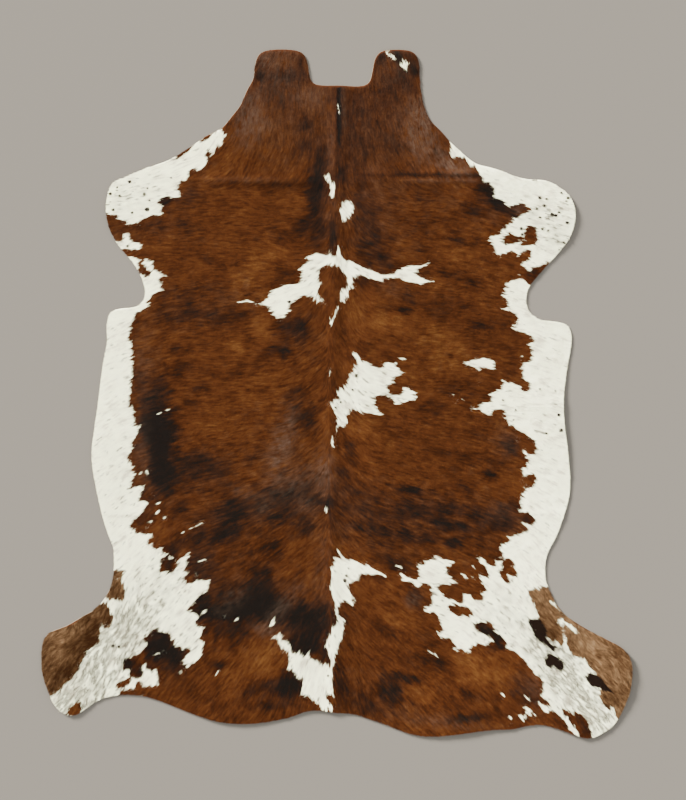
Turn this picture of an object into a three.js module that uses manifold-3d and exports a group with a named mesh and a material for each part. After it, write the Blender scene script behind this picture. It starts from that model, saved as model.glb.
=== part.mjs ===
// A hair-on cowhide rug lying flat: one tanned hide, trimmed along the outline of neck, legs and
// flanks, with the low creases it keeps from having been folded and a rim that lifts a little.
// Millimetres, +Z up. The hair side faces up, the neck points to +Y, and the origin is the middle
// of the hide's outline on the surface that it lies on.

import * as THREE from 'three';
import { mergeVertices } from 'three/addons/utils/BufferGeometryUtils.js';
import Module from 'manifold-3d';

// Driving dimensions.

const HIDE_LENGTH = 2150; // from the top of the neck flaps to the lowest point of the hind edge
const SKIN_THICKNESS = 2.5;
const COAT_THICKNESS = 2.5; // short hair, combed flat
const CELL = 64; // spacing of the surface grid where the hide is smooth
const BAND_MARGIN = 12; // clearance from the even grid to the close lines over a crease
const STEPS_PER_MARK = 3; // edge points from one landmark to the next
const SEATED = 0.25; // a lift below this lies on the surface
const CUT_MARGIN = 20; // how far the outline's cutter passes the slab, up and down

// Tables are written as rows under named columns. Places are counted in squares of the pattern
// chart that the hide is drawn on, across from its left side and down from its top. The chart's
// scale follows from HIDE_LENGTH, so a square is a little over 3 mm.

function table(columns, rows) {
  const names = columns.split(' ');
  return rows.map((row) => Object.fromEntries(names.map((name, i) => [name, row[i]])));
}

// Landmarks of the trimmed edge, clockwise as seen from above, from the left neck flap on.

const EDGE = {
  neck: table('across down', [
    [240.5, 105], [247, 90], [253.5, 78], [255.5, 62], [260, 53.5], [269, 50.2], [294, 50.2],
    [303, 53.5], [307.5, 62], [309.5, 75], [312.5, 82.5], [319, 85], [340, 85.4], [362, 86],
    [369, 82.5], [372.5, 70], [374.8, 59], [380, 52.3], [388, 50.2], [405, 50.2], [413, 52.3],
    [418, 58.5], [419.3, 73], [420.5, 88],
  ]),
  rightShoulder: table('across down', [
    [424.5, 107], [431, 121], [441, 131], [449.5, 141], [458, 149], [468, 158], [477, 164],
    [490, 167.3], [502, 171], [514, 176], [528, 179.3], [545, 180.4],
  ]),
  rightForeleg: table('across down', [
    [557, 186], [568, 195.5], [574, 208], [574.3, 222], [569, 238], [559, 251.5], [546, 266],
    [534, 280], [528, 288], [525.5, 301], [529, 313], [540, 320], [556, 321.7], [566.5, 325.5],
    [571, 336],
  ]),
  rightFlank: table('across down', [
    [569.7, 351], [565.7, 374], [562.7, 402], [564, 426], [567, 451], [569.5, 481],
    [568.3, 498], [563, 516], [556, 536], [547, 553], [544, 568], [546, 584], [552, 597],
  ]),
  rightHindLeg: table('across down', [
    [562, 612], [576, 622.5], [596, 634], [613, 642.5], [623, 648.5], [629.5, 658.5],
    [631.7, 670], [630.5, 684], [626.5, 700], [620, 714], [612, 726], [601, 733.5],
    [589.5, 737.9], [575, 734.3],
  ]),
  hindEdge: table('across down', [
    [560, 729], [543, 724.3], [530, 724.8], [514, 728.3], [492, 729.3], [465, 732.7],
    [440, 735.6], [424, 735.7], [406, 732], [390, 725.7], [372, 719.3], [355, 714],
    [336, 712.4], [318, 710], [304, 711.4], [290, 716.7], [270, 721], [245, 723.2],
    [220, 721.7], [200, 716], [178, 707.7], [158, 699.7], [140, 695], [120, 694.2],
    [103, 697.5], [88, 706], [76, 714.3],
  ]),
  leftHindLeg: table('across down', [
    [66, 714], [55.5, 705.5], [49, 691], [43.2, 673], [42.1, 655], [44.5, 639], [50, 632.3],
    [66, 626], [84, 615.5], [97, 608], [106, 596], [113, 581], [115, 564], [114, 548],
  ]),
  leftFlank: table('across down', [
    [109, 535], [103, 516], [98, 494], [93.5, 470], [92.4, 456], [94.5, 434], [99, 402],
    [103, 368], [107.5, 344],
  ]),
  leftForeleg: table('across down', [
    [107.6, 323], [112, 311.5], [121, 308.5], [134, 307.2], [142.5, 303], [146, 294],
    [142.5, 279], [133, 262], [119, 245.5], [109.5, 228], [106.5, 210], [109, 192],
    [115, 181.8], [127, 177],
  ]),
  leftShoulder: table('across down', [
    [150, 167], [170, 159.6], [190, 147.5], [206, 136], [222, 128], [232, 116],
  ]),
};

// Creases: a soft ridge runs through the marks of each, and rises as each mark says, in mm.

const CREASES = {
  spine: {
    halfWidth: 27,
    marks: table('across down rise', [
      [340, 86, 3], [339, 130, 5], [338, 180, 5], [337, 250, 4], [332, 330, 3], [330, 420, 3],
      [331, 500, 3.5], [333, 600, 4], [335, 711, 3],
    ]),
  },
  neckFold: {
    halfWidth: 23,
    marks: table('across down rise', [
      [186, 181.5, 0], [215, 181, 3], [270, 180, 3.5], [338, 179, 4], [410, 178, 5.5],
      [468, 177.5, 6.5], [488, 177, 0],
    ]),
  },
  waistFold: {
    halfWidth: 20,
    marks: table('across down rise', [
      [98, 402, 2.8], [138, 404, 2.2], [196, 405, 0], [478, 404, 0], [522, 405, 2.4],
      [564, 405, 3],
    ]),
  },
  hindFold: {
    halfWidth: 20,
    marks: table('across down rise', [
      [102, 514, 1.8], [150, 515, 1.4], [204, 515, 0], [486, 517, 0], [530, 516, 2.4],
      [564, 516, 2.8],
    ]),
  },
};

// Swells: round rises where the rim doesn't lie down, with their reach and height in mm.

const SWELLS = table('across down reach rise', [
  [280, 50, 120, 4],
  [396, 50, 125, 5],
  [574, 214, 150, 6],
  [567, 430, 210, 6],
  [629, 676, 180, 9],
  [585, 738, 110, 4],
  [462, 733, 190, 5],
  [318, 710, 120, 3],
  [236, 723, 170, 4],
  [50, 684, 180, 8],
  [93, 458, 200, 4],
  [107, 208, 140, 6],
]);

// The edge on the chart, a smooth closed curve through the landmarks.

function charted() {
  const marks = Object.values(EDGE).flat();
  const places = marks.map((mark) => new THREE.Vector3(mark.across, -mark.down, 0));
  const curve = new THREE.CatmullRomCurve3(places, true, 'centripetal');
  const points = curve.getPoints(marks.length * STEPS_PER_MARK).slice(0, -1);
  return points.map((point) => new THREE.Vector2(point.x, point.y));
}

// The chart's middle and the size of its squares, and a place on it in millimetres.

const chartEdge = charted();
const chartBox = new THREE.Box2().setFromPoints(chartEdge);
const chartMiddle = chartBox.getCenter(new THREE.Vector2());
const square = HIDE_LENGTH / (chartBox.max.y - chartBox.min.y);

function sized(point) {
  return point.clone().sub(chartMiddle).multiplyScalar(square);
}

function place(mark) {
  return sized(new THREE.Vector2(mark.across, -mark.down));
}

const edge = chartEdge.map(sized);
const box = new THREE.Box2().setFromPoints(edge);

// How far the hide lifts off the surface.

function hump(share) {
  return share < 1 ? (1 - share * share) ** 2 : 0;
}

function stretchLift(from, to, halfWidth, point) {
  const start = place(from);
  const run = place(to).sub(start);
  const offset = point.clone().sub(start);
  const along = THREE.MathUtils.clamp(offset.dot(run) / run.lengthSq(), 0, 1);
  const away = offset.sub(run.multiplyScalar(along)).length();
  return THREE.MathUtils.lerp(from.rise, to.rise, along) * hump(away / halfWidth);
}

function creaseLift(crease, point) {
  const lifts = crease.marks.slice(1).map((mark, i) => (
    stretchLift(crease.marks[i], mark, crease.halfWidth, point)
  ));
  return Math.max(...lifts);
}

function liftAt(x, y) {
  const point = new THREE.Vector2(x, y);
  const creases = Object.values(CREASES).map((crease) => creaseLift(crease, point));
  const swells = SWELLS.map((swell) => swell.rise * hump(place(swell).distanceTo(point) / swell.reach));
  const lift = Math.max(...creases) + Math.max(...swells);
  return lift < SEATED ? 0 : lift;
}

// Grid lines along one axis: an even spacing, and close lines over each crease's band.

function gridLines(low, high, bands) {
  const count = Math.ceil((high - low) / CELL) + 1;
  const first = low - (count * CELL - (high - low)) / 2;
  const even = Array.from({ length: count + 1 }, (_, i) => first + i * CELL);
  const clear = even.filter((line) => (
    bands.every(({ from, to }) => line < from - BAND_MARGIN || line > to + BAND_MARGIN)
  ));
  const close = bands.flatMap(({ from, to, lines }) => (
    Array.from({ length: lines }, (_, i) => THREE.MathUtils.lerp(from, to, i / (lines - 1)))
  ));
  return [...clear, ...close].sort((a, b) => a - b);
}

function band(crease, axis, lines) {
  const middles = crease.marks.map((mark) => place(mark)[axis]);
  const from = Math.min(...middles) - crease.halfWidth;
  const to = Math.max(...middles) + crease.halfWidth;
  return { from, to, lines };
}

const columns = gridLines(box.min.x, box.max.x, [band(CREASES.spine, 'x', 9)]);
const rows = gridLines(box.min.y, box.max.y, [
  band(CREASES.neckFold, 'y', 7),
  band(CREASES.waistFold, 'y', 7),
  band(CREASES.hindFold, 'y', 7),
]);

// A rectangular slab of the hide's thickness that follows the lift, larger than the hide.

function slab(thickness) {
  const wide = columns.length;
  const lifts = rows.map((y) => columns.map((x) => liftAt(x, y)));
  const positions = [];
  for (const rise of [0, thickness]) {
    rows.forEach((y, r) => columns.forEach((x, c) => positions.push(x, y, lifts[r][c] + rise)));
  }
  const layer = wide * rows.length;
  const quads = [];
  for (let r = 0; r < rows.length - 1; r += 1) {
    for (let c = 0; c < wide - 1; c += 1) {
      const at = r * wide + c;
      quads.push([at, at + wide, at + wide + 1, at + 1]);
      quads.push([layer + at, layer + at + 1, layer + at + wide + 1, layer + at + wide]);
    }
  }
  const rim = [
    ...columns.map((_, c) => c),
    ...rows.slice(1).map((_, r) => (r + 2) * wide - 1),
    ...columns.slice(1).map((_, c) => layer - 2 - c),
    ...rows.slice(2).map((_, r) => layer - (r + 2) * wide),
  ];
  rim.forEach((at, i) => {
    const next = rim[(i + 1) % rim.length];
    quads.push([at, next, layer + next, layer + at]);
  });
  const geometry = new THREE.BufferGeometry();
  geometry.setAttribute('position', new THREE.Float32BufferAttribute(positions, 3));
  geometry.setIndex(quads.flatMap(([a, b, c, d]) => [a, b, c, a, c, d]));
  return geometry;
}

// An upright block of the outline, tall enough to cut the slab.

function cutter(thickness) {
  const highest = Math.max(...SWELLS.map((swell) => swell.rise)) + thickness;
  const block = new THREE.ExtrudeGeometry(new THREE.Shape(edge), {
    depth: highest + 2 * CUT_MARGIN,
    bevelEnabled: false,
  });
  block.translate(0, 0, -CUT_MARGIN);
  return block;
}

const wasm = await Module();
wasm.setup();

function solid(geometry) {
  const bare = geometry.clone();
  bare.deleteAttribute('normal');
  bare.deleteAttribute('uv');
  const merged = mergeVertices(bare);
  const vertProperties = new Float32Array(merged.attributes.position.array);
  const triVerts = new Uint32Array(merged.index.array);
  return new wasm.Manifold(new wasm.Mesh({ numProp: 3, vertProperties, triVerts }));
}

function meshGeometry(body) {
  const mesh = body.getMesh();
  const geometry = new THREE.BufferGeometry();
  geometry.setAttribute('position', new THREE.Float32BufferAttribute(mesh.vertProperties, 3));
  geometry.setIndex(Array.from(mesh.triVerts));
  geometry.computeVertexNormals();
  return geometry;
}

function hide() {
  const thickness = SKIN_THICKNESS + COAT_THICKNESS;
  const body = solid(slab(thickness)).intersect(solid(cutter(thickness)));
  const material = new THREE.MeshStandardMaterial({ color: 0x6b3a1c, roughness: 0.85, metalness: 0 });
  const mesh = new THREE.Mesh(meshGeometry(body), material);
  mesh.name = 'hide';
  return mesh;
}

const rug = new THREE.Group();
rug.add(hide());

export default rug;
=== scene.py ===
"""A hair-on cowhide rug, lying flat: tanned skin with a suede flesh side, and a short combed coat.

Metres, in the frame's own axes: +Z up out of the hair side, +Y along the spine towards the neck.
The coat is real geometry: every hair is one thin blade, rooted in the skin and combed along the
lie of the hair. Its colour comes from the markings, which are charted below.
"""

import math

import bmesh
import bpy
import numpy as np
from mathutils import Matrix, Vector, geometry, kdtree
from mathutils.bvhtree import BVHTree


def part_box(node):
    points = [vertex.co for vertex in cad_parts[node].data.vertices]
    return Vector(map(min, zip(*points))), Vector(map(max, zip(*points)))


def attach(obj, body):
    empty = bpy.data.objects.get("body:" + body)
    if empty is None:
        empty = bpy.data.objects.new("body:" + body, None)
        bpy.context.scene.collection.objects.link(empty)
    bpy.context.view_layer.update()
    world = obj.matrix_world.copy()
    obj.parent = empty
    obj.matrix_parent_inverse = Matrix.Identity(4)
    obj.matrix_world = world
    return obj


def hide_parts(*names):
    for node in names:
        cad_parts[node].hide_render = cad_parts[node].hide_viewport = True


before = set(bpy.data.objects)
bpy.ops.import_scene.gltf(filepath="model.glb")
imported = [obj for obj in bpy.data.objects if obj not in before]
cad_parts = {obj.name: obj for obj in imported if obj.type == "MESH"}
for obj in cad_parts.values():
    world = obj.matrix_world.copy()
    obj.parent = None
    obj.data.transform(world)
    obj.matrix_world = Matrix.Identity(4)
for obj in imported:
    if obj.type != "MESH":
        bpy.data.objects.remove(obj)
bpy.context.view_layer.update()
hide_low, hide_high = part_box("hide")

SEED = 7

# ------------------------------------------------------------------ the skin, in metres

SKIN = 0.0025  # thickness of the tanned skin
RIM_STEP = 0.007  # spacing of the points round the cut edge
SKIN_STEP = 0.0125  # spacing of the skin's points away from the edge
SKIN_CLEAR = SKIN_STEP * 0.6  # and their least distance from it
BEVEL = 0.0008  # slope of the cut edge, seen from above
LEVEL = 0.5  # a face is level where its normal rises by more than this
WELD = 1e-6  # points closer than this are one
LIFT_ROUNDS = 3  # how often the skin's height is smoothed
CREASE_FADE = 8  # how steeply a crease fades out towards its ends

# Rasters that cover the hide, by the spacing of their points.

LIFT_PITCH = 0.008  # the skin's height
RIM_PITCH = 0.006  # the distance to the edge
LIE_PITCH = 0.010  # the lie of the hair
SWAY_PITCH = 0.005  # how the coat sways and swells
COAT_PITCH = 0.0025  # the coat's colours
MAP_MARGIN = 0.03  # how far the rasters reach past the hide

# ------------------------------------------------------------------ the hairs, in metres

HAIRS = 850_000
COAT_STRIPS = ["coat_neck", "coat_shoulders", "coat_barrel", "coat_loins", "coat_rump"]
HAIR_TRAITS = ["white", "tan", "shade", "cool", "grey", "chance"]
HAIR_LENGTH = 0.0145
HAIR_SHORTEST = 0.004  # where it is trimmed at the cut edge
HAIR_WIDTH = 0.0021
HAIR_RISE = 0.0021  # height of a hair's tip over the skin
HAIR_FACET = 0.3  # share of a blade's own slope in its shading; the rest is the skin's slope
ROOT_DEPTH = 0.0003  # how deep a root sits in the skin
ROOT_SHIFT = 0.45  # how far a root strays from its even place, in steps
RIM_CLEAR = 0.0012  # no hair roots closer to the cut edge
OVERHANG = 0.002  # how far a tip may reach past the cut edge
SPECK_LENGTH = 0.0055  # the short hairs of a dark speck
SPECK_WIDTH = 0.0028
SPECK_RAISED = 0.0012  # how far they stand over the coat round them
TICK_LENGTH = 0.009  # the short grey hairs that tick the white of the legs
TICK_WIDTH = 0.0022
TICK_RAISED = 0.0008
BAKED_CORNERS = [(0.06, 0.06), (0.94, 0.06), (0.5, 0.94)]  # of a hair in its cell of the map

LIE_BLEND = 0.02  # the charted headings blend over about this distance
SWAYS = [(0.08, 9), (0.09, 3)]  # in radians, with their grain in raster steps
TAN_SWAY = 3  # the tan hair sways so much more
SWELL_GRAIN = 2.2  # in raster steps
SWELL_RISE = 0.16  # a swell lifts the tips by this share of their rise
SWELL_BASE = 0.85  # and this is the tips' rise where there is none
SWELL_ROLL = 0.05  # and rolls the blades by so much, in radians

SHARES = {  # the least and the most that single hairs have of a measure
    "length": (0.7, 1.25),
    "overhang": (0.2, 1),
    "width": (0.75, 1.2),
    "rise": (0.5, 1.15),
    # single hairs' share of the painted sheen
    "sheen": (0.3, 1.7),
    "fleck": (0.55, 1.0),
    "chance": (0, 1),
}
SCATTERS = {  # how far single hairs depart from their neighbours
    "way": 0.09,
    "shade": 0.08,
    "pale": 0.12,
    "roll": 0.14,
    "cool": 0.10,
}

# ------------------------------------------------------------------ the colours' edges and grain

TUFT = 0.0042  # how far tufts of one colour run out over the next
TUFT_ASIDE = 0.3  # and how much of that to the side
TUFT_STRAY = 0.0004  # and how far single hairs stray
COLOUR_NEAR, COLOUR_FAR = 0.38, 0.88  # a white hair lies in the white at both these shares of it
COLOUR_ASIDE = 0.0016  # and by so much to either side
COLOUR_MIDDLE = 0.6  # where along a hair its tone is read
DASH_PULL = 0.0025  # the ends of a dash are drawn in by so much, for its hairs reach past them
DASH_SHARE = 1.25  # and its width grows to this share, for the white loses some all round
BROAD = 9  # an oval of tone this wide or wider has fully ragged edges, in squares
OVAL_FALL, OVAL_EDGE = 0.7, 1.3  # how far an oval has faded at its rim, and how steeply it does

SHADE_MIDDLE = 0.42  # the brown's middle shade, from nought for light to one for dark
SHADE_PALE = 0.36  # the white's, from nought for white to one for cream
SHADE_BLACK = 0.97  # the black's, on the brown's scale
STROKE_SHADE = 0.15  # how much darker a stroke of the brindle is
BRINDLE_LIMITS = (0.1, 2)  # the brindle's least and most strength
COOL_DARK = 1.1  # how much colder the dark tones are
COOL_LESS = 0.08  # and how much warmer all of the brown is
SHEEN, SHEEN_MOST = 0.9, 0.8  # strength of the painted sheen, grey where the hair catches the light, and its most
SHEEN_ON_BLACK = 0.5  # share of the painted sheen in the black
HAZE, HAZE_MOST = 0.42, 0.7  # the grey that lies over the white between the flecks
GRAIN_SHADE = 0.10  # how much a fine grain changes the shade
TAN_CHANCE = 0.24  # how much single tan hairs differ
DULL, TIP_GLOSS = 0.72, 0.14  # a hair's roughness at its root, and how much less it is at its tip

# Random hills, summed from layers: each layer's weight, its grain in raster steps, and over how
# many steps it is drawn out along the hair.

LAYERS = {
    "tuft": [(1, 0.8, 4)],  # tufts where two colours meet
    "tick": [(1, 1.3, 3)],  # grey ticks in the white
    "run": [(1.5, 1.6, 4), (2.2, 5, 4)],  # the tones' ragged edges along the hair, in squares
    "drift": [(0.8, 1.6, 4), (1.3, 5, 4)],  # and across it
    "streak": [(0.028, 5, 5), (0.042, 1.4, 5)],  # the brindle's soft streaks
    "stroke": [(1, 1.1, 5)],  # and its dark strokes
    "cloud": [(0.036, 8, 0), (0.030, 2.6, 0)],
    "fine": [(0.070, 0.8, 4)],
    "cool": [(0.10, 5, 0), (0.08, 2, 4)],
    "pale": [(0.22, 0.9, 4), (0.16, 5, 3)],
    "mottle": [(0.06, 1.2, 2), (0.04, 0.7, 3)],  # clumps of lighter and darker tan
    # the painted sheen, broken up
    "sheen": [(0.40, 0.9, 4), (0.40, 3, 0)],
    "fleck": [(1, 1.4, 3)],
    "haze": [(0.26, 3, 4)],
}

# Spots stand where such hills pass a height, which is lower by some where they are thick. The last
# number is how sharp their edges are.

SPOTS = {
    "tick": (2.8, 1.8, 1),
    "stroke": (1.4, 3.4, 2),
    "fleck": (2.1, 2.1, 2.6),
}

# ------------------------------------------------------------------ studio

FLOOR_REACH = 30.0  # in metres
FLOOR_DROP = 0.0005  # how far it lies below the hide
FILL_LIGHT, FILL_COLOUR = 2.16, (0.95, 0.97, 1.0, 1.0)
LENS, SENSOR = 85, 36  # in millimetres
VIEW = (686, 800)  # the view's width and height, in chart squares

# ------------------------------------------------------------------ pattern chart
# Places are counted in squares of the chart that the hide is drawn on, across from its left side
# and down from its top. The hide is SQUARES_TALL squares long, so a square is a little over 3 mm.

SQUARES_TALL = 688.43
CHART_MIDDLE = (336.86, 393.68)
square = (hide_high.y - hide_low.y) / SQUARES_TALL


def table(columns, rows):
    """The rows of a table as arrays, one for each named column."""
    return dict(zip(columns.split(), np.array(rows, float).T))


def on_hide(across, down):
    """Chart places as metres in the frame."""
    x = (np.asarray(across, float) - CHART_MIDDLE[0]) * square
    y = (CHART_MIDDLE[1] - np.asarray(down, float)) * square
    return np.stack([x, y], axis=-1)


# The lie of the hair: where its tips point, in degrees from straight to the tail, positive
# towards the right flank.

LIE = table("across down heading", [
    [262, 60, -25], [285, 62, -8], [300, 90, 0], [330, 95, -3], [345, 95, 3], [390, 62, 8],
    [408, 62, 20], [250, 95, -10], [246, 120, -8], [232, 140, -30], [262, 115, -12],
    [285, 130, -6], [318, 130, -6], [350, 130, 8], [385, 120, 15], [415, 120, 8], [432, 130, 14],
    [452, 150, 34], [190, 160, -65], [215, 165, -50], [245, 160, -22], [285, 165, -30],
    [325, 165, -10], [352, 165, 12], [395, 165, 30], [440, 165, 26], [130, 195, -80],
    [160, 200, -80], [205, 200, -92], [255, 205, -100], [300, 205, -96], [328, 205, -18],
    [350, 205, 40], [385, 205, 80], [430, 205, 86], [480, 200, 76], [530, 195, 70],
    [565, 215, 70], [125, 235, -70], [170, 245, -88], [230, 250, -90], [285, 250, -102],
    [318, 250, -74], [338, 245, 2], [362, 255, 66], [410, 255, 82], [470, 255, 80],
    [530, 250, 70], [140, 285, -60], [180, 295, -78], [240, 295, -84], [295, 295, -75],
    [322, 300, -30], [345, 300, 30], [390, 300, 78], [450, 300, 84], [515, 300, 75],
    [555, 330, 72], [115, 340, -60], [150, 350, -75], [210, 350, -88], [270, 350, -86],
    [315, 350, -58], [345, 350, 38], [380, 350, 76], [440, 350, 86], [505, 350, 82],
    [550, 370, 72], [110, 400, -58], [145, 405, -70], [200, 405, -87], [265, 405, -86],
    [315, 405, -60], [342, 405, 44], [380, 405, 76], [440, 405, 84], [500, 405, 80],
    [545, 415, 68], [105, 450, -52], [142, 455, -62], [200, 455, -82], [265, 455, -78],
    [312, 455, -56], [345, 455, 44], [385, 455, 74], [440, 455, 80], [500, 460, 74],
    [545, 465, 60], [110, 500, -50], [145, 500, -58], [200, 505, -76], [265, 505, -68],
    [312, 505, -56], [345, 505, 50], [385, 505, 70], [440, 505, 76], [500, 510, 68],
    [540, 515, 55], [120, 550, -40], [160, 550, -48], [210, 555, -64], [265, 555, -58],
    [312, 555, -50], [345, 555, 46], [385, 555, 66], [440, 555, 70], [500, 555, 60],
    [535, 560, 45], [85, 640, -46], [120, 600, -22], [165, 600, -42], [215, 605, -58],
    [270, 605, -50], [315, 605, -42], [345, 605, 42], [385, 605, 58], [440, 605, 64],
    [495, 605, 52], [545, 605, 40], [60, 680, -38], [100, 670, -24], [160, 655, -42],
    [215, 655, -45], [270, 655, -34], [315, 655, -28], [345, 655, 32], [385, 655, 50],
    [440, 655, 58], [500, 655, 50], [560, 650, 42], [615, 670, 45], [120, 690, -35],
    [180, 700, -40], [245, 700, -35], [305, 695, -16], [345, 700, 16], [400, 705, 42],
    [465, 710, 48], [530, 710, 46], [590, 710, 42], [600, 730, 38],
])

# Markings: closed outlines in chart squares, painted in this order. Where a marking runs out over
# the cut edge, its outline closes outside the hide.

BROWN, WHITE, TAN, BLACK = range(4)

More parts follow.
